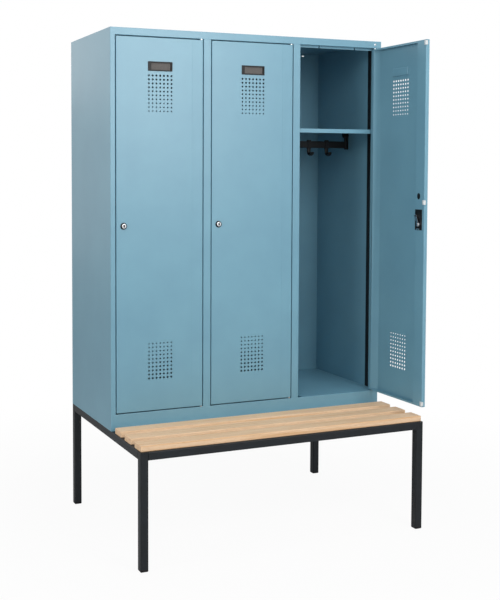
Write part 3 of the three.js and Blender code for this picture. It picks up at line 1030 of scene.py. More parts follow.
@dataclass
class Carcass:
    """Folded sheets of the locker body."""

    shop: Shop
    top_stop: float = 9.0
    slit_width: float = 6.0
    slit_height: float = 7.5
    slit_offset: float = 84.0
    notch_inset: float = 2.0
    notch_width: float = 20.0
    notch_depth: float = 44.0
    cup_depth: float = 12.0
    web_flange: float = 12.0
    fixing_inset: float = 84.0
    fixing_drop: float = 10.3
    fixing_width: float = 11.0
    fixing_height: float = 4.0
    screw_place: tuple[float, float, float] = (1160.2, 0.0, 1508.5)
    screw_profile: tuple[tuple[float, float], ...] = (
        (2.53, -1.9), (3.91, -1.6), (4.6, -0.9), (4.6, -0.02)
    )
    screw_drive: tuple[float, float] = (4.0, 0.8)
    screw_drive_floor: float = -1.2

    def build(self) -> None:
        """Makes the sides, roof, floor, posts, back and rail screw."""
        sheets = {f"side_panel_{end}": self.make_side(end) for end in ("left", "right")}
        sheets["roof_panel"] = self.make_roof()
        sheets["floor_panel"] = self.make_floor()
        for number in range(1, BODY.compartments):
            sheets[f"partition_{number}"] = self.make_post(number)
        sheets["back_panel"] = self.make_back()
        for node, sheet in sheets.items():
            self.shop.deliver(sheet, Finishes.LOCKER_BLUE, nodes=[node])
        self.shop.deliver(self.make_screw(), Finishes.ZINC)

    def make_side(self, end: str) -> Workpiece:
        """Makes a side with its front stile, stop, rear flange and foot flange.

        Args:
            end: left or right.

        Returns:
            The side.
        """
        stile, stop = BODY.side_stile, BODY.side_stile + BODY.stop
        skin = [(BODY.rear_flange, BODY.depth), (0.0, BODY.depth), (0.0, 0.0), (stile, 0.0)]
        middle = skin + [(stile, BODY.rebate), (stop, BODY.rebate)]
        spans = [
            (skin, (0.0, BODY.plinth)),
            (middle, (BODY.plinth, BODY.opening_top)),
            (skin, (BODY.opening_top, BODY.height)),
        ]
        parts = []
        for line, run in spans:
            if end == "right":
                line = [(BODY.width - x, y) for x, y in reversed(line)]
            parts.append(Workpiece.folded(f"side_{end}", line, run, Axis.Z, BODY.sheet, BODY.bend))
        low_x, high_x = (0.0, stile) if end == "left" else (BODY.width - stile, BODY.width)
        foot = Workpiece.box(
            "foot_flange", (low_x, BODY.bend, 0), (high_x, BODY.depth - BODY.bend, BODY.sheet)
        )
        return parts[0].add(parts[1], parts[2], foot)

    def fixing_slots(self) -> list[Workpiece]:
        """Makes the cutters for the two slots that take wall fixings, just under the roof.

        Returns:
            The cutters.
        """
        middle = BODY.height - self.fixing_drop
        half_width, half_height = self.fixing_width / 2, self.fixing_height / 2
        cutters = [
            Workpiece.box(
                "cutter",
                (centre - half_width, BODY.back_front - OVER, middle - half_height),
                (centre + half_width, BODY.depth + OVER, middle + half_height),
            )
            for centre in (self.fixing_inset, BODY.width - self.fixing_inset)
        ]
        for cutter in cutters:
            cutter.bevel(lambda spot: spot.along(Axis.Y), half_height - ROUND_SLACK, 4)
        return cutters

    def make_back(self) -> Workpiece:
        """Makes the back with its two slots for wall fixings.

        Returns:
            The back.
        """
        low, high = [(corner - ORIGIN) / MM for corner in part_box("back_panel")]
        return Workpiece.box("back_sheet", low, high).cut(*self.fixing_slots())

    def make_screw(self) -> Workpiece:
        """Turns the pan head of the screw at the right-hand end of the top rail.

        Returns:
            The screw's head.
        """
        head = Workpiece.turned(
            "rail_screw", self.screw_profile, self.screw_place, Axis.Y, HOLE_SIDES
        )
        (across, _, up), (length, width) = self.screw_place, self.screw_drive
        drive = Workpiece.box(
            "cutter",
            (across - length / 2, self.screw_profile[0][1] - OVER, up - width / 2),
            (across + length / 2, self.screw_drive_floor, up + width / 2),
        )
        return head.cut(drive).smooth()

    def pivot_holes(self, low: float, high: float) -> list[Workpiece]:
        """Makes the cutters for the doors' pivots.

        Args:
            low: Height of their lower ends.
            high: Height of their upper ends.

        Returns:
            The cutters.
        """
        return [
            Workpiece.rod(BODY.pivot_hole, (low, high), (*BODY.pivot(number), 0), Axis.Z)
            for number in range(1, BODY.compartments + 1)
        ]

    def fold_across(
        self, name: str, line: Sequence[tuple[float, float]], top: float
    ) -> Workpiece:
        """Folds a sheet between the stiles, and widens its level part to the sides behind them.

        Args:
            name: Name of the sheet.
            line: Points of its outer surface, into the depth and up.
            top: Height of its level part.

        Returns:
            The sheet.
        """
        stile, width = BODY.side_stile, BODY.width
        piece = Workpiece.folded(
            name, line, (stile, width - stile), Axis.X, BODY.sheet, BODY.bend
        )
        for left, right in ((BODY.sheet, stile), (width - stile, width - BODY.sheet)):
            low = (left, BODY.bend, top - BODY.sheet)
            piece.add(Workpiece.box("strip", low, (right, BODY.depth - BODY.bend, top)))
        return piece

    def make_roof(self) -> Workpiece:
        """Makes the roof with its top rail, the stops above the doors and the rear flange.

        Returns:
            The roof.
        """
        stile, top, rear = BODY.side_stile, BODY.height, BODY.rear_flange
        stop_low = BODY.opening_top - self.top_stop
        line = [
            (BODY.depth, top - rear), (BODY.depth, top), (0.0, top), (0.0, BODY.opening_top),
            (BODY.rebate, BODY.opening_top), (BODY.rebate, stop_low),
        ]
        roof = self.fold_across("roof_and_rail", line, top)
        cutters = self.pivot_holes(BODY.opening_top - OVER, BODY.opening_top + BODY.sheet + OVER)
        edges = [stile - OVER]
        for number in range(1, BODY.compartments + 1):
            edges += [BODY.left(number) + BODY.stop, BODY.right(number) - BODY.stop]
            centre = (BODY.left(number) + BODY.right(number)) / 2
            for offset in (-self.slit_offset, self.slit_offset):
                left = centre + offset - self.slit_width / 2
                cutters.append(Workpiece.box(
                    "cutter",
                    (left, BODY.rebate - OVER, stop_low - OVER),
                    (left + self.slit_width, BODY.stop_back + OVER, stop_low + self.slit_height),
                ))
        edges.append(BODY.width - stile + OVER)
        for left, right in zip(edges[::2], edges[1::2]):
            cutters.append(Workpiece.box(
                "cutter",
                (left, BODY.rebate - OVER, stop_low - OVER),
                (right, BODY.stop_back + OVER, BODY.opening_top),
            ))
        return roof.cut(*cutters, *self.fixing_slots())

    def make_floor(self) -> Workpiece:
        """Makes the floor tray, whose front fold is the plinth.

        Returns:
            The floor.
        """
        top = BODY.plinth
        line = [
            (BODY.depth - BODY.foot_flange, 0.0), (BODY.depth, 0.0), (BODY.depth, top),
            (0.0, top), (0.0, 0.0), (BODY.foot_flange, 0.0),
        ]
        floor = self.fold_across("floor_and_plinth", line, top)
        cutters = self.pivot_holes(top - BODY.sheet - OVER, top + OVER)
        sheet, front = BODY.sheet, BODY.bend + BODY.sheet
        for number in range(1, BODY.compartments + 1):
            left = BODY.left(number) + self.notch_inset
            right, bottom = left + self.notch_width, top - self.cup_depth
            floor.add(Workpiece.box(
                "cup",
                (left - sheet, front - sheet, bottom - sheet),
                (right + sheet, self.notch_depth + sheet, top - sheet / 2),
            ))
            cutters.append(Workpiece.box(
                "cutter", (left, front, bottom), (right, self.notch_depth, top + OVER)
            ))
        return floor.cut(*cutters)

    def make_post(self, number: int) -> Workpiece:
        """Makes a partition: a hollow front post with a stop on each side, and the wall behind it.

        Args:
            number: The compartment on its left.

        Returns:
            The partition.
        """
        left, right = BODY.right(number), BODY.left(number + 1)
        line = [
            (left - BODY.stop, BODY.rebate), (left, BODY.rebate), (left, 0.0),
            (right, 0.0), (right, BODY.rebate), (right + BODY.stop, BODY.rebate),
        ]
        run = (BODY.plinth, BODY.opening_top)
        name = f"partition_post_{number}"
        post = Workpiece.folded(name, line, run, Axis.Z, BODY.sheet, BODY.bend)
        roof = BODY.height - BODY.sheet
        wall, far_wall = BODY.right_wall(number), BODY.left_wall(number + 1)
        back = Workpiece.box(
            "back_strip", (left, BODY.rebate, run[0]), (right, BODY.stop_back, run[1])
        )
        web_line = [
            (far_wall + self.web_flange, BODY.back_front),
            (wall, BODY.back_front),
            (wall, BODY.stop_back),
        ]
        web = Workpiece.folded("web", web_line, (BODY.plinth, roof), Axis.Z, BODY.sheet, BODY.bend)
        return post.add(back, web)


# Interior


@dataclass
class Interior:
    """What each compartment holds: a hat shelf, a hook rail under it and three hooks."""

    shop: Shop
    shelf_top: float = 1158.5
    shelf_front: float = 21.3
    shelf_back: float = 497.3
    lip: float = 16.8
    lip_return: float = 9.0
    flange: float = 12.0
    rail_place: float = 240.0
    rail_low: float = 1086.0
    rail_high: float = 1115.0
    rail_thickness: float = 8.0
    rail_rounding: float = 1.5
    rail_inset: float = 4.0
    bracket_width: float = 16.0
    bracket_thickness: float = 12.0
    bracket_drop: float = 6.0
    bracket_corner: float = 3.0
    bracket_rounding: float = 2.0
    gusset_reach: float = 9.0
    gusset_height: float = 26.0
    gusset_rounding: float = 8.0
    hook_pitch: float = 88.0
    gap: float = 0.3
    collar_width: float = 14.0
    collar_wall: float = 3.0
    collar_crown: float = 5.0
    collar_crown_rounding: float = 4.0
    collar_rounding: float = 1.0
    hook_width: float = 18.0
    hook_thickness: float = 8.0
    hook_bend: float = 15.5
    hook_lowest: float = 1051.0
    hook_sweep: float = 160.0
    hook_sides: int = 16
    hook_steps: int = 14
    # How far each step of the tip goes on, and to what share it narrows
    hook_tip: tuple[tuple[float, float], ...] = ((1.1, 0.92), (0.9, 0.8), (0.7, 0.6))
    strip_front: float = 69.5
    strip_width: float = 22.0
    strip_thickness: float = 2.2
    strip_rounding: float = 0.6
    strip_glue: float = 0.05
    strip_end_gap: float = 1.0
    strip_shelf_gap: float = 0.5
    strip_rise: float = 8.0

    def build(self) -> None:
        """Makes the shelf, rail, hooks and black strips of painted shade on the hinge-side wall of
        every compartment.
        """
        middle = (BODY.left(1) + BODY.right(1)) / 2
        hook = self.make_hook(middle)
        for number in range(1, BODY.compartments + 1):
            shelf, rail = self.make_shelf(number), self.make_rail(number)
            self.shop.deliver(shelf, Finishes.LOCKER_BLUE, nodes=[f"hat_shelf_{number}"])
            self.shop.deliver(rail, Finishes.BLACK_PLASTIC, nodes=[f"hook_rail_{number}"])
            # Black strips on the hinge-side wall: painted shade for the dark pocket behind the
            # stop
            self.shop.deliver(self.make_shade_strips(number), Finishes.BLACK_PLASTIC)
            centre = (BODY.left(number) + BODY.right(number)) / 2
            for index, place in enumerate(("left", "centre", "right")):
                node = f"hook_{number}_{place}"
                across = centre - middle + (index - 1) * self.hook_pitch
                self.shop.deliver(
                    hook.copy(f"coat_{node}"),
                    Finishes.BLACK_PLASTIC,
                    body=node,
                    nodes=[node],
                    place=Matrix.Translation(metres((across, 0, 0))),
                )
        bpy.data.objects.remove(hook.item)

    def make_shelf(self, number: int) -> Workpiece:
        """Makes a hat shelf with a folded lip and flanges along the walls.

        Args:
            number: Its compartment.

        Returns:
            The shelf.
        """
        left, right = BODY.left_wall(number), BODY.right_wall(number)
        front, back, top = self.shelf_front, self.shelf_back, self.shelf_top
        low, lip_low = top - self.flange, top - self.lip
        line = [
            (back, low), (back, top), (front, top),
            (front, lip_low), (front + self.lip_return, lip_low),
        ]
        shelf = Workpiece.folded(
            f"shelf_{number}", line, (left, right), Axis.X, BODY.sheet, BODY.bend
        )
        half = BODY.sheet / 2
        for edge in (left, right - BODY.sheet):
            shelf.add(Workpiece.box(
                "flange", (edge, front + half, low), (edge + BODY.sheet, back - half, top - half)
            ))
        return shelf.smooth()

    def make_rail(self, number: int) -> Workpiece:
        """Makes a hook rail that hangs from the shelf by a bracket at each end.

        Args:
            number: Its compartment.

        Returns:
            The rail.
        """
        left = BODY.left_wall(number) + self.rail_inset
        right = BODY.right_wall(number) - self.rail_inset
        half = self.rail_thickness / 2
        rail = Workpiece.box(
            f"hanging_rail_{number}",
            (left, self.rail_place - half, self.rail_low),
            (right, self.rail_place + half, self.rail_high),
        )
        rail.bevel(lambda spot: spot.along(Axis.X), self.rail_rounding)
        half, reach = self.bracket_thickness / 2, self.gusset_reach
        front, back = self.rail_place - half, self.rail_place + half
        low, top = self.rail_low - self.bracket_drop, self.shelf_top - BODY.sheet
        gusset_low = top - self.gusset_height
        inner = right - self.bracket_width
        for edge, low_x, high_x in (
            (left, left, left + self.bracket_width + reach),
            (inner, inner - reach, right),
        ):
            bracket = Workpiece.box(
                "bracket", (edge, front, low), (edge + self.bracket_width, back, top)
            )
            bracket.bevel(lambda spot: spot.along(Axis.Z), self.bracket_corner)
            bracket.bevel(lambda spot: spot.at(Axis.Z, low), self.bracket_rounding)
            gusset = Workpiece.box("gusset", (low_x, front, gusset_low), (high_x, back, top))
            gusset.bevel(
                lambda spot: spot.at(Axis.Z, gusset_low) and spot.along(Axis.X),
                self.gusset_rounding,
            )
            rail.add(bracket, gusset)
        return rail.smooth()

    def make_shade_strips(self, number: int) -> Workpiece:
        """Makes the black strips of painted shade on the hinge-side wall, one below the shelf and
        one above it. They stand in for the dark pocket behind the hinge-side stop.

        Args:
            number: The compartment.

        Returns:
            Both strips in one mesh.
        """
        wall = BODY.right_wall(number) - self.strip_glue
        face, back = wall - self.strip_thickness, self.strip_front + self.strip_width
        gap = self.strip_end_gap
        spans = (
            (BODY.plinth + gap, self.shelf_top - self.flange - gap),
            (self.shelf_top + self.strip_shelf_gap, BODY.opening_top + self.strip_rise),
        )
        strips = [
            Workpiece.box("wall_strip", (face, self.strip_front, low), (wall, back, high))
            for low, high in spans
        ]
        for strip in strips:
            strip.bevel(lambda spot: spot.at(Axis.X, face), self.strip_rounding, 2)
        return strips[0].gather(*strips[1:]).smooth()

    def make_hook(self, centre: float) -> Workpiece:
        """Makes a hook: a collar on the rail, and a finger bent forwards below it.

        Args:
            centre: Its place across.

        Returns:
            The hook.
        """
        half_bar = self.rail_thickness / 2 + self.gap
        outer = half_bar + self.collar_wall
        bar_low, bar_high = self.rail_low - self.gap, self.rail_high + self.gap
        low, top = bar_low - self.collar_wall, bar_high + self.collar_crown
        half = self.collar_width / 2
        collar = Workpiece.box(
            "coat_hook",
            (centre - half, self.rail_place - outer, low),
            (centre + half, self.rail_place + outer, top),
        )
        collar.bevel(
            lambda spot: spot.at(Axis.Z, top) and spot.along(Axis.X), self.collar_crown_rounding, 4
        )
        collar.bevel(lambda spot: spot.angle > CORNER_ANGLE, self.collar_rounding)
        slot = Workpiece.box(
            "cutter",
            (centre - half - OVER, self.rail_place - half_bar, bar_low),
            (centre + half + OVER, self.rail_place + half_bar, bar_high),
        )
        return collar.cut(slot).add(self.make_finger(centre, low + self.collar_wall / 2)).smooth()

    def make_finger(self, centre: float, top: float) -> Workpiece:
        """Draws the finger down from the collar, bends it and rounds its tip.

        Args:
            centre: Its place across.
            top: The height where it leaves the collar.

        Returns:
            The finger.
        """
        Workpiece.deselect()
        bpy.ops.mesh.primitive_circle_add(
            vertices=self.hook_sides,
            radius=self.hook_thickness / 2 * MM,
            fill_type="NGON",
            location=metres((centre, self.rail_place, top)),
        )
        finger = Workpiece(bpy.context.object, "finger")
        finger.item.scale.x = self.hook_width / self.hook_thickness
        finger.settle()
        bend_height = self.hook_lowest + self.hook_bend + self.hook_thickness / 2
        pivot = metres((centre, self.rail_place - self.hook_bend, bend_height))
        sweep = math.radians(self.hook_sweep)
        forwards = Vector((0, -math.sin(sweep), -math.cos(sweep)))
        tip = pivot + self.hook_bend * MM * Vector((0, math.cos(sweep), -math.sin(sweep)))
        with finger.picked(Element.FACE, lambda spot: True):
            bpy.ops.mesh.extrude_region_move(
                TRANSFORM_OT_translate={"value": metres((0, 0, bend_height - top))}
            )
            bpy.ops.mesh.spin(steps=self.hook_steps, angle=sweep, center=pivot, axis=(1, 0, 0))
            for step, share in self.hook_tip:
                move = forwards * step * MM
                bpy.ops.mesh.extrude_region_move(TRANSFORM_OT_translate={"value": move})
                tip += move
                bpy.ops.transform.resize(value=(share, share, share), center_override=tip)
            bpy.ops.mesh.select_all(action="SELECT")
            bpy.ops.mesh.normals_make_consistent(inside=False)
        return finger


# Doors


@dataclass
class Door:
    """A folded leaf with its vents, label holder, lock, bumpers and pivot pins.

    Its own x starts at the free edge, and its own y at the front face.
    """

    shop: Shop
    depth: float = 16.0
    sheet: float = 1.0
    bend: float = 1.5
    trim: float = 0.8
    end_gap: float = 3.5
    lock_flange: float = 55.0
    hinge_flange: float = 14.0
    hinge_slope: float = 33.0
    slope_front: float = 0.6
    slope_overlap: float = 0.5
    end_flange: float = 8.0
    window_rounding: float = 2.5
    open_number: int = 3
    open_angle: float = 91.0
    gap: float = 0.3
    vent_columns: int = 7
    vent_rows: int = 10
    vent_column_pitch: float = 15.4
    vent_row_pitch: float = 14.9
    vent_largest: float = 8.2
    vent_smallest: float = 5.6
    vent_sides: int = 16
    upper_vent_inset: float = 143.5
    lower_vent_inset: float = 125.5
    label_width: float = 100.0
    label_height: float = 36.0
    label_rim: float = 4.8
    label_proud: float = 1.5
    label_recess: float = 5.0
    label_wall: float = 1.0
    label_ledge: float = 9.0
    label_top_inset: float = 90.5
    label_corner: float = 1.5
    label_rounding: float = 0.7
    pocket_rounding: float = 2.0
    card_thickness: float = 0.8
    card_end: float = 3.0
    card_rounding: float = 0.2
    tab_width: float = 9.0
    tab_proud: float = 1.6
    tab_back: float = 0.4
    tab_rounding: float = 0.3
    lock_inset: float = 30.0
    # Radius and depth of each step of the rosette, from its front to the leaf
    rosette_profile: tuple[tuple[float, float], ...] = (
        (10.4, -5.0), (11.0, -4.6), (12.2, -3.12), (13.0, -0.7), (13.0, -0.3)
    )
    neck_radius: float = 10.3
    plug_radius: float = 8.5
    plug_proud: float = 6.5
    plug_depth: float = 12.0
    # How far in and how far back each step of the plug's rounded edge lies
    plug_edge: tuple[tuple[float, float], ...] = ((1.1, 0.0), (0.4, 0.15), (0.0, 0.6))
    key_width: float = 6.2
    key_height: float = 10.6
    key_depth: float = 9.0
    key_rounding: float = 2.4
    shutter_inset: float = 0.8
    shutter_gap: float = 0.05
    stub_radius: float = 4.0
    stub_end: float = 28.0
    case_left: float = 13.5
    case_width: float = 43.0
    case_below: float = 22.0
    case_above: float = 58.5
    case_back: float = 17.0
    case_rounding: float = 1.2
    slot_centre: float = 36.5
    slot_rise: float = 110.0
    slot_width: float = 19.0
    slot_height: float = 25.0
    insert_width: float = 26.0
    insert_height: float = 36.0
    insert_thickness: float = 2.4
    insert_rounding: float = 0.8
    tongue_left: float = 27.0
    tongue_width: float = 18.0
    tongue_height: float = 6.0
    tongue_thickness: float = 1.2
    tongue_rise: float = 0.6
    tongue_gap: float = 0.1
    tongue_corner: float = 1.5
    pin_radius: float = 3.0
    pin_length: float = 7.0
    pin_collar: float = 4.6
    pin_head: float = 2.0
    pin_chamfer: float = 0.4
    bumper_size: float = 18.0
    bumper_wrap: float = 12.0
    bumper_front: float = 8.0
    bumper_proud: float = 2.6
    bumper_edge: float = 0.1
    bumper_rounding: float = 3.2
    bumper_corner: float = 2.5
    bumper_inset: float = 13.0
    bumper_over_lock: float = 86.0
    cam_angle: float = 66.0
    cam_reach: float = 37.0
    cam_half_width: float = 6.0
    cam_front: float = 21.8
    cam_back: float = 24.3
    cam_eye: float = 3.6
    # Radius and depth of each step of the cam's boss and of its nut
    boss_profile: tuple[tuple[float, float], ...] = ((7.6, 17.6), (8.0, 18.0), (8.0, 24.3))
    nut_profile: tuple[tuple[float, float], ...] = ((7.0, 22.0), (7.0, 26.7), (6.2, 27.3))

    @property
    def width(self) -> float:
        """Width of the leaf."""
        return BODY.opening - 2 * BODY.side_gap

    @property
    def low(self) -> float:
        """Height of the lower edge."""
        return BODY.plinth + self.end_gap

    @property
    def high(self) -> float:
        """Height of the upper edge."""
        return BODY.opening_top - self.end_gap

    @property
    def lock_height(self) -> float:
        """Height of the lock's axis."""
        return (self.low + self.high) / 2

    @property
    def bumper_heights(self) -> tuple[float, float, float]:
        """Heights of the bumpers' middles."""
        middle = self.lock_height + self.bumper_over_lock
        return self.high - self.bumper_inset, middle, self.low + self.bumper_inset

    @property
    def pocket_back(self) -> float:
        """Depth of the back of the cut-out for the label holder."""
        return self.label_recess - self.label_proud + self.label_wall

    @property
    def axis(self) -> tuple[float, float, float]:
        """Where the lock's axis crosses the front face."""
        return self.lock_inset, 0.0, self.lock_height

    def place(self, number: int) -> Matrix:
        """Gives the place of a door on the locker.

        Args:
            number: The door.

        Returns:
            The move from the door's own places to the locker's.
        """
        angle = math.radians(self.open_angle) if number == self.open_number else 0.0
        hinge = Matrix.Translation(metres((*BODY.pivot(number), 0)))
        back = Matrix.Translation(metres((BODY.pivot_inset - self.width, -BODY.pivot_inset, 0)))
        return hinge @ Matrix.Rotation(angle, 4, "Z") @ back

    def build(self) -> None:
        """Makes each kind of piece once and hangs copies of it on every door."""
        kinds = (
            (self.make_leaf(), Finishes.LOCKER_BLUE, "door", ("door_leaf",)),
            (self.make_label_holder(), Finishes.BLACK_PLASTIC, "door", ("label_holder",)),
            (self.make_card(), Finishes.CARD, "door", ()),
            (self.make_lock_case(), Finishes.BLACK_PLASTIC, "door", ("lock_case",)),
            (self.make_cylinder(), Finishes.CHROME, "lock", ("lock_cylinder",)),
            (self.make_key_shutter(), Finishes.BLACK_PLASTIC, "lock", ()),
            (self.make_cam(), Finishes.ZINC, "lock", ("lock_cam",)),
            (self.make_bumpers(), Finishes.WHITE_PLASTIC, "door", ()),
            (self.make_keyhole_insert(), Finishes.BLACK_PLASTIC, "door", ()),
            (self.make_tongue(), Finishes.ZINC, "door", ()),
        )
        for model, finish, body, nodes in kinds:
            for number in range(1, BODY.compartments + 1):
                self.shop.deliver(
                    model.copy(f"{model.item.name}_{number}"),
                    finish,
                    body=f"{body}_{number}",
                    nodes=[f"{node}_{number}" for node in nodes],
                    place=self.place(number),
                )
            bpy.data.objects.remove(model.item)
        self.make_pins()

    def make_leaf(self) -> Workpiece:
        """Folds the leaf and punches its holes.

        Returns:
            The leaf.
        """
        sheet, trim, width, depth = self.sheet, self.trim, self.width, self.depth
        low, high = self.low + trim, self.high - trim
        leaf = Workpiece.box("door_skin", (trim, 0, low), (width - trim, depth, high))
        leaf.bevel(lambda spot: True, self.bend)
        hollow = Workpiece.box(
            "cutter",
            (trim + sheet, sheet, low + sheet),
            (width - trim - sheet, depth - sheet, high - sheet),
        )
        leaf.cut(hollow.bevel(lambda spot: True, self.bend - sheet))
        window = Workpiece.box(
            "cutter",
            (self.lock_flange, depth - 2 * sheet, low + self.end_flange),
            (width - self.hinge_flange, depth + sheet, high - self.end_flange),
        )
        leaf.cut(window.bevel(lambda spot: spot.along(Axis.Y), self.window_rounding))
        fold = width - self.hinge_flange + self.slope_overlap
        slope = [(fold, depth), (fold - self.hinge_slope, self.slope_front)]
        run = (low + sheet / 2, high - sheet / 2)
        leaf.add(Workpiece.folded("slope", slope, run, Axis.Z, sheet, 0))
        leaf.cut(*self.flange_cutters(), *[
            Workpiece.rod(
                BODY.pivot_hole,
                (end - 2 * sheet, end + 2 * sheet),
                (width - BODY.pivot_inset, BODY.pivot_inset, 0),
                Axis.Z,
            )
            for end in (low, high)
        ])
        leaf.add(self.make_pocket())
        leaf.cut(*self.face_cutters(), *self.vent_cutters())
        return leaf.smooth()

    def flange_cutters(self) -> list[Workpiece]:
        """Makes the cutters for the keyhole slot and the lock case's notch in the flange.

        Returns:
            The cutters.
        """
        front, back = self.depth - 2 * self.sheet, self.depth + self.sheet
        middle = self.lock_height + self.slot_rise
        half_width, half_height = self.slot_width / 2, self.slot_height / 2
        slot = Workpiece.box(
            "cutter",
            (self.slot_centre - half_width, front, middle - half_height),
            (self.slot_centre + half_width, back, middle + half_height),
        )
        slot.bevel(lambda spot: spot.along(Axis.Y), half_width - ROUND_SLACK, 5)
        low = self.lock_height - self.case_below - self.gap
        high = self.lock_height + self.case_above + self.gap
        notch = Workpiece.box(
            "cutter",
            (self.case_left - self.gap, front, low),
            (self.lock_flange + self.sheet, back, high),
        )
        return [slot, notch]

    def make_pocket(self) -> Workpiece:
        """Makes the block whose skin is left behind the label holder.

        Returns:
            The block.
        """
        (left, low), (right, high) = self.tub(self.gap + self.sheet)
        front = self.sheet / 2
        pocket = Workpiece.box(
            "pocket", (left, front, low), (right, self.pocket_back + self.sheet, high)
        )
        return pocket.bevel(lambda spot: not spot.at(Axis.Y, front), self.pocket_rounding)

    def face_cutters(self) -> list[Workpiece]:
        """Makes the cutters for the label holder, the lock's neck and the bumpers.

        Returns:
            The cutters.
        """
        sheet, gap = self.sheet, self.gap
        (left, low), (right, high) = self.tub(gap)
        label = Workpiece.box("cutter", (left, -sheet, low), (right, self.pocket_back, high))
        neck = Workpiece.rod(
            self.neck_radius + gap, (-sheet, 2 * sheet), self.axis, Axis.Y, LOCK_SIDES
        )
        half = self.bumper_size / 2 + gap
        seats = [
            Workpiece.box(
                "cutter",
                (-sheet, self.bumper_front - gap, height - half),
                (self.bumper_wrap + gap, self.depth + sheet, height + half),
            )
            for height in self.bumper_heights
        ]
        return [label, neck, *seats]

    def vent_cutters(self) -> list[Workpiece]:
        """Makes the punches for the vents, a row at a time.

        Returns:
            The punches.
        """
        left = self.width / 2 - (self.vent_columns - 1) / 2 * self.vent_column_pitch
        cutters = []
        for row in range(self.vent_rows):
            share = row / (self.vent_rows - 1)
            radius = (self.vent_largest + share * (self.vent_smallest - self.vent_largest)) / 2
            heights = (
                self.high - self.upper_vent_inset - row * self.vent_row_pitch,
                self.low + self.lower_vent_inset + row * self.vent_row_pitch,
            )
            for height in heights:
                run = (-self.sheet, 2 * self.sheet)
                punch = Workpiece.rod(radius, run, (left, 0, height), Axis.Y, self.vent_sides)
                cutters.append(punch.modify(
                    "ARRAY",
                    count=self.vent_columns,
                    use_relative_offset=False,
                    use_constant_offset=True,
                    constant_offset_displace=metres((self.vent_column_pitch, 0, 0)),
                ))
        return cutters

    def tub(self, margin: float) -> tuple[tuple[float, float], tuple[float, float]]:
        """Gives the outline of the label holder's tub.

        Args:
            margin: How far the outline grows on each side.

        Returns:
            Its lower left and upper right corners, across and up.
        """
        middle = self.width / 2
        centre = self.high - self.label_top_inset - self.label_height / 2
        across = self.label_width / 2 - self.label_rim + self.label_wall + margin
        up = self.label_height / 2 - self.label_rim + self.label_wall + margin
        return (middle - across, centre - up), (middle + across, centre + up)

    def make_label_holder(self) -> Workpiece:
        """Makes the holder: a rim on the face round a shallow tub that sits in the cut-out.

        Returns:
            The holder.
        """
        (left, low), (right, high) = self.tub(0)
        over, wall = self.label_rim - self.label_wall, self.label_wall
        front = -self.gap - self.label_proud
        back = front + self.label_recess + wall
        rim = Workpiece.box(
            "label_frame",
            (left - over, front, low - over),
            (right + over, -self.gap, high + over),
        )
        rim.bevel(lambda spot: spot.along(Axis.Y), self.label_corner)
        rim.bevel(lambda spot: spot.at(Axis.Y, front), self.label_rounding)
        rim.add(Workpiece.box("tub", (left, (front - self.gap) / 2, low), (right, back, high)))
        recess = Workpiece.box(
            "cutter",
            (left + wall + self.label_ledge, front - wall, low + wall),
            (right - wall, back - wall, high - wall),
        )
        # The shallower end, which is joined to the deeper one before both are cut out
        slack = ROUND_SLACK
        step = Workpiece.box(
            "cutter",
            (left + wall, front - wall - slack, low + wall + slack),
            (
                left + wall + self.label_ledge + OVER / 2,
                front + self.label_recess / 2,
                high - wall - slack,
            ),
        )
        return rim.cut(recess.add(step)).smooth()

    def make_card(self) -> Workpiece:
        """Makes the card that lies in the label holder, with a folded tab at its right end.

        Returns:
            The card.
        """
        (left, low), (right, high) = self.tub(0)
        wall = self.label_wall + self.gap
        floor = -self.gap - self.label_proud + self.label_recess
        end = right - wall - self.card_end
        card_front, tab_front = floor - self.card_thickness, floor - self.tab_proud
        card = Workpiece.box(
            "label_insert",
            (left + wall + self.label_ledge, card_front, low + wall),
            (end, floor, high - wall),
        )
        card.bevel(lambda spot: spot.at(Axis.Y, card_front), self.card_rounding, 1)
        tab = Workpiece.box(
            "tab",
            (end - self.tab_width, tab_front, low + wall),
            (end, floor - self.tab_back, high - wall),
        )
        return card.add(
            tab.bevel(lambda spot: spot.at(Axis.Y, tab_front), self.tab_rounding, 2)
        )

    def make_lock_case(self) -> Workpiece:
        """Makes the lock case behind the leaf and the rosette in front of it.

        Returns:
            The case.
        """
        front = self.sheet + self.gap
        case = Workpiece.box(
            "lock_body",
            (self.case_left, front, self.lock_height - self.case_below),
            (self.case_left + self.case_width, self.case_back, self.lock_height + self.case_above),
        )
        case.bevel(lambda spot: True, self.case_rounding)
        neck = [(self.neck_radius, -self.gap), (self.neck_radius, front + self.sheet)]
        rosette = Workpiece.turned(
            "rosette", [*self.rosette_profile, *neck], self.axis, Axis.Y, LOCK_SIDES
        )
        bores = [
            Workpiece.rod(radius + self.gap, run, self.axis, Axis.Y, LOCK_SIDES)
            for radius, run in (
                (self.plug_radius, (-self.plug_proud - OVER, self.plug_depth + self.gap)),
                (self.stub_radius, (self.plug_depth, self.case_back + OVER)),
            )
        ]
        return case.add(rosette).cut(bores[0].add(bores[1])).smooth()

    def make_cylinder(self) -> Workpiece:
        """Turns the lock cylinder and cuts its key slot.

        Returns:
            The cylinder.
        """
        edge = [
            (self.plug_radius - inward, back - self.plug_proud) for inward, back in self.plug_edge
        ]
        rest = [
            (self.plug_radius, self.plug_depth),
            (self.stub_radius, self.plug_depth),
            (self.stub_radius, self.stub_end),
        ]
        plug = Workpiece.turned("lock_plug", edge + rest, self.axis, Axis.Y, LOCK_SIDES)
        return plug.cut(self.key_block("cutter", -OVER, 0.0)).smooth()

    def make_key_shutter(self) -> Workpiece:
        """Makes the dark dust shutter that closes the key slot behind the plug's face."""
        return self.key_block("key_shutter", self.shutter_inset, self.shutter_gap).smooth()

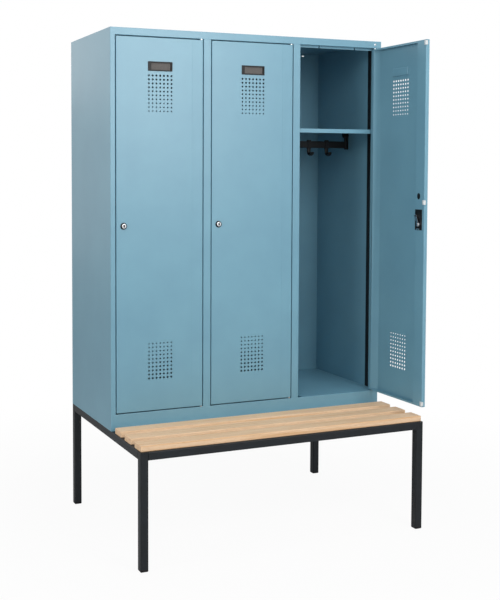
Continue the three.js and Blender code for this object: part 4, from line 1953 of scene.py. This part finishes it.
    def key_block(self, name: str, start: float, gap: float) -> Workpiece:
        """Makes a block in the shape of the key slot.

        Args:
            name: Name of the block.
            start: How far behind the plug's face it starts.
            gap: How much smaller than the slot it is on each side.

        Returns:
            The block.
        """
        half_width, half_height = self.key_width / 2 - gap, self.key_height / 2 - gap
        across, _, up = self.axis
        block = Workpiece.box(
            name,
            (across - half_width, start - self.plug_proud, up - half_height),
            (across + half_width, self.key_depth - self.plug_proud, up + half_height),
        )
        return block.bevel(lambda spot: spot.along(Axis.Y), self.key_rounding)

    def make_cam(self) -> Workpiece:
        """Makes the cam: a boss, a rounded arm and the nut that holds it.

        Returns:
            The cam.
        """
        boss = Workpiece.turned("lock_arm", self.boss_profile, self.axis, Axis.Y)
        half, front, back = self.cam_half_width, self.cam_front, self.cam_back
        arm = Workpiece.box("arm", (-half, front, -half), (self.cam_reach + half, back, half))
        arm.bevel(lambda spot: spot.along(Axis.Y), half - ROUND_SLACK, 6)
        arm.cut(Workpiece.rod(
            self.cam_eye, (front - OVER, back + OVER), (self.cam_reach, 0, 0), Axis.Y
        ))
        turn = Matrix.Rotation(math.radians(-self.cam_angle), 4, "Y")
        arm.settle(Matrix.Translation(metres(self.axis)) @ turn)
        nut = Workpiece.turned("nut", self.nut_profile, self.axis, Axis.Y, 6)
        run = (self.boss_profile[0][1] - OVER, self.nut_profile[-1][1] + OVER)
        bore = Workpiece.rod(self.stub_radius + self.gap, run, self.axis, Axis.Y, 32)
        return boss.add(arm, nut).cut(bore).smooth()

    def make_bumpers(self) -> Workpiece:
        """Makes the three bumpers that sit in the free edge and wrap over it to the back.

        Returns:
            The bumpers in one mesh.
        """
        left, back = self.trim + self.bumper_edge, self.depth + self.bumper_proud
        half = self.bumper_size / 2
        bumpers = []
        for height in self.bumper_heights:
            bumper = Workpiece.box(
                "edge_bumpers",
                (left, self.bumper_front, height - half),
                (self.bumper_wrap, back, height + half),
            )
            bumper.bevel(lambda spot: spot.at(Axis.Y, back), self.bumper_rounding, 4)
            bumper.bevel(
                lambda spot: spot.at(Axis.X, left) and spot.along(Axis.Y), self.bumper_corner
            )
            bumpers.append(bumper)
        return bumpers[0].gather(*bumpers[1:]).smooth()

    def make_keyhole_insert(self) -> Workpiece:
        """Makes the insert that closes the keyhole slot from inside the flange.

        Returns:
            The insert.
        """
        middle, back = self.lock_height + self.slot_rise, self.depth - self.sheet - self.gap
        half_width, half_height = self.insert_width / 2, self.insert_height / 2
        insert = Workpiece.box(
            "keyhole_insert",
            (self.slot_centre - half_width, back - self.insert_thickness, middle - half_height),
            (self.slot_centre + half_width, back, middle + half_height),
        )
        return insert.bevel(lambda spot: True, self.insert_rounding, 2).smooth()

    def make_tongue(self) -> Workpiece:
        """Makes the steel tongue at the foot of the lock case.

        Returns:
            The tongue.
        """
        low = self.lock_height - self.case_below + self.tongue_rise
        left, front = self.tongue_left, self.case_back + self.tongue_gap
        tongue = Workpiece.box(
            "lock_tongue",
            (left, front, low),
            (left + self.tongue_width, front + self.tongue_thickness, low + self.tongue_height),
        )
        return tongue.bevel(lambda spot: spot.along(Axis.Y), self.tongue_corner).smooth()

    def make_pins(self) -> None:
        """Turns the pivot pins and sets them at the top and bottom of each door."""
        pin, gap, chamfer = self.pin_radius, self.gap, self.pin_chamfer
        head = BODY.pivot_inset - BODY.sheet - gap
        past = BODY.sheet + gap
        for end, leaf, body, outward in (
            ("top", self.high, BODY.opening_top, 1),
            ("bottom", self.low, BODY.plinth, -1),
        ):
            in_leaf = [
                (pin - chamfer, -self.pin_length),
                (pin, chamfer - self.pin_length),
                (pin, gap),
                (self.pin_collar, gap),
            ]
            in_body = [
                (self.pin_collar, -gap),
                (pin, -gap),
                (pin, past),
                (head, past),
                (head, past + self.pin_head - chamfer),
                (head - chamfer, past + self.pin_head),
            ]
            steps = [(radius, leaf + outward * along) for radius, along in in_leaf]
            steps += [(radius, body + outward * along) for radius, along in in_body]
            if outward < 0:
                steps.reverse()
            for number in range(1, BODY.compartments + 1):
                centre = (*BODY.pivot(number), 0)
                piece = Workpiece.turned(f"hinge_pin_{end}_{number}", steps, centre, Axis.Z)
                self.shop.deliver(
                    piece.smooth(), Finishes.ZINC, nodes=[f"pivot_pin_{end}_{number}"]
                )


# Studio


@dataclass(frozen=True)
class Lamp:
    """A softbox aimed at the middle of the locker.

    Attributes:
        name: Name of the lamp.
        azimuth: Degrees to the right of straight in front.
        elevation: Degrees above the middle of the locker.
        power: Power in watts.
    """

    name: str
    azimuth: float
    elevation: float
    power: float


@dataclass
class Studio:
    """A pale floor, soft lamps and the camera of the photograph."""

    camera_place: tuple[float, float, float] = (-1.8194, -3.6227, 1.4133)
    camera_yaw: float = 21.878
    camera_pitch: float = -2.907
    lens: float = 60.06
    shift: tuple[float, float] = (0.15, -0.13)
    sensor: float = 36.0
    floor_size: float = 24.0
    floor_colour: str = "#dcdcdc"
    floor_roughness: float = 0.85
    # Metres from the middle where the floor starts to fade and where it is white, and how white
    # it is at the start
    fade_start: float = 0.9
    fade_end: float = 2.2
    fade_share: float = 0.94
    aim: tuple[float, float, float] = (0.0, 0.0, 1.3)
    lamp_distance: float = 3.4
    lamp_size: float = 1.2
    lamps: tuple[Lamp, ...] = (
        Lamp("upper_front_softbox", 12, 28, 28.5),
        Lamp("lower_front_softbox", 12, 11, 28.0),
        Lamp("overhead_softbox", 0, 76, 22.0),
        Lamp("left_softbox", -70, 10, 22.0),
        Lamp("rear_left_softbox", -160, 20, 5.0),
        Lamp("front_left_softbox", -35, 25, 16.0),
    )
    world_light: float = 0.417

    def build(self) -> None:
        """Sets up the floor, the lamps, the world and the camera."""
        self.make_floor()
        self.make_world()
        for lamp in self.lamps:
            self.make_lamp(lamp)
        self.make_camera()

    def make_floor(self) -> None:
        """Lays a pale floor that keeps the shadow and fades to white away from the locker."""
        Workpiece.deselect()
        bpy.ops.mesh.primitive_plane_add(size=self.floor_size)
        floor = bpy.context.object
        floor.name = "studio_floor"
        material = bpy.data.materials.new("matt_studio_floor")
        material.use_nodes = True
        tree = material.node_tree
        shader = tree.nodes["Principled BSDF"]
        shader.inputs["Base Color"].default_value = linear(self.floor_colour)
        shader.inputs["Roughness"].default_value = self.floor_roughness
        place = add_node(material, "ShaderNodeTexCoord").outputs["Object"]
        reach = add_node(material, "ShaderNodeVectorMath", {0: place}, operation="LENGTH")
        fade = add_node(material, "ShaderNodeMapRange", {
            "Value": reach.outputs["Value"],
            "From Min": self.fade_start,
            "From Max": self.fade_end,
            "To Min": self.fade_share,
            "To Max": 1.0,
        })
        path = add_node(material, "ShaderNodeLightPath")
        share = add_node(material, "ShaderNodeMath", {
            0: fade.outputs["Result"], 1: path.outputs["Is Camera Ray"],
        }, operation="MULTIPLY")
        white = add_node(
            material, "ShaderNodeEmission", {"Color": linear(WHITE), "Strength": 1.0}
        )
        mixed = add_node(material, "ShaderNodeMixShader", {
            0: share.outputs["Value"], 1: shader.outputs["BSDF"], 2: white.outputs["Emission"],
        })
        tree.links.new(mixed.outputs["Shader"], tree.nodes["Material Output"].inputs["Surface"])
        floor.data.materials.append(material)

    def make_world(self) -> None:
        """Lights the locker from all round, and shows white behind it and in its gloss."""
        world = bpy.data.worlds.new("studio_world")
        bpy.context.scene.world = world
        world.use_nodes = True
        path = add_node(world, "ShaderNodeLightPath")
        seen = add_node(world, "ShaderNodeMath", {
            0: path.outputs["Is Camera Ray"], 1: path.outputs["Is Glossy Ray"],
        }, operation="MAXIMUM")
        either = add_node(world, "ShaderNodeMath", {
            0: seen.outputs["Value"], 1: path.outputs["Is Transmission Ray"],
        }, operation="MAXIMUM")
        strength = add_node(world, "ShaderNodeMapRange", {
            "Value": either.outputs["Value"], "To Min": self.world_light, "To Max": 1.0,
        })
        light = world.node_tree.nodes["Background"]
        light.inputs["Color"].default_value = linear(WHITE)
        world.node_tree.links.new(strength.outputs["Result"], light.inputs["Strength"])

    def make_lamp(self, lamp: Lamp) -> None:
        """Hangs a square soft lamp that points at the locker.

        Args:
            lamp: Its place and power.
        """
        azimuth, elevation = math.radians(lamp.azimuth), math.radians(lamp.elevation)
        level = math.cos(elevation)
        outward = Vector(
            (level * math.sin(azimuth), -level * math.cos(azimuth), math.sin(elevation))
        )
        data = bpy.data.lights.new(lamp.name, "AREA")
        data.size = self.lamp_size
        data.energy = lamp.power
        item = bpy.data.objects.new(lamp.name, data)
        item.location = Vector(self.aim) + outward * self.lamp_distance
        item.rotation_euler = (-outward).to_track_quat("-Z", "Y").to_euler()
        bpy.context.collection.objects.link(item)

    def make_camera(self) -> None:
        """Sets the camera where the photograph was taken from."""
        data = bpy.data.cameras.new("photo_camera")
        data.lens = self.lens
        data.sensor_width = self.sensor
        data.shift_x, data.shift_y = self.shift
        camera = bpy.data.objects.new("photo_camera", data)
        camera.location = self.camera_place
        pitch, yaw = math.radians(90 + self.camera_pitch), math.radians(-self.camera_yaw)
        camera.rotation_euler = (pitch, 0, yaw)
        bpy.context.collection.objects.link(camera)
        bpy.context.scene.camera = camera
        bpy.context.scene.view_settings.view_transform = "Standard"


def main() -> None:
    """Builds the locker's pieces in order, then the studio."""
    logging.basicConfig(level=logging.INFO, format="%(name)s %(message)s")
    shop = Shop()
    Bench(shop).build()
    Carcass(shop).build()
    Interior(shop).build()
    Door(shop).build()
    Studio().build()


if __name__ == "__main__":
    main()
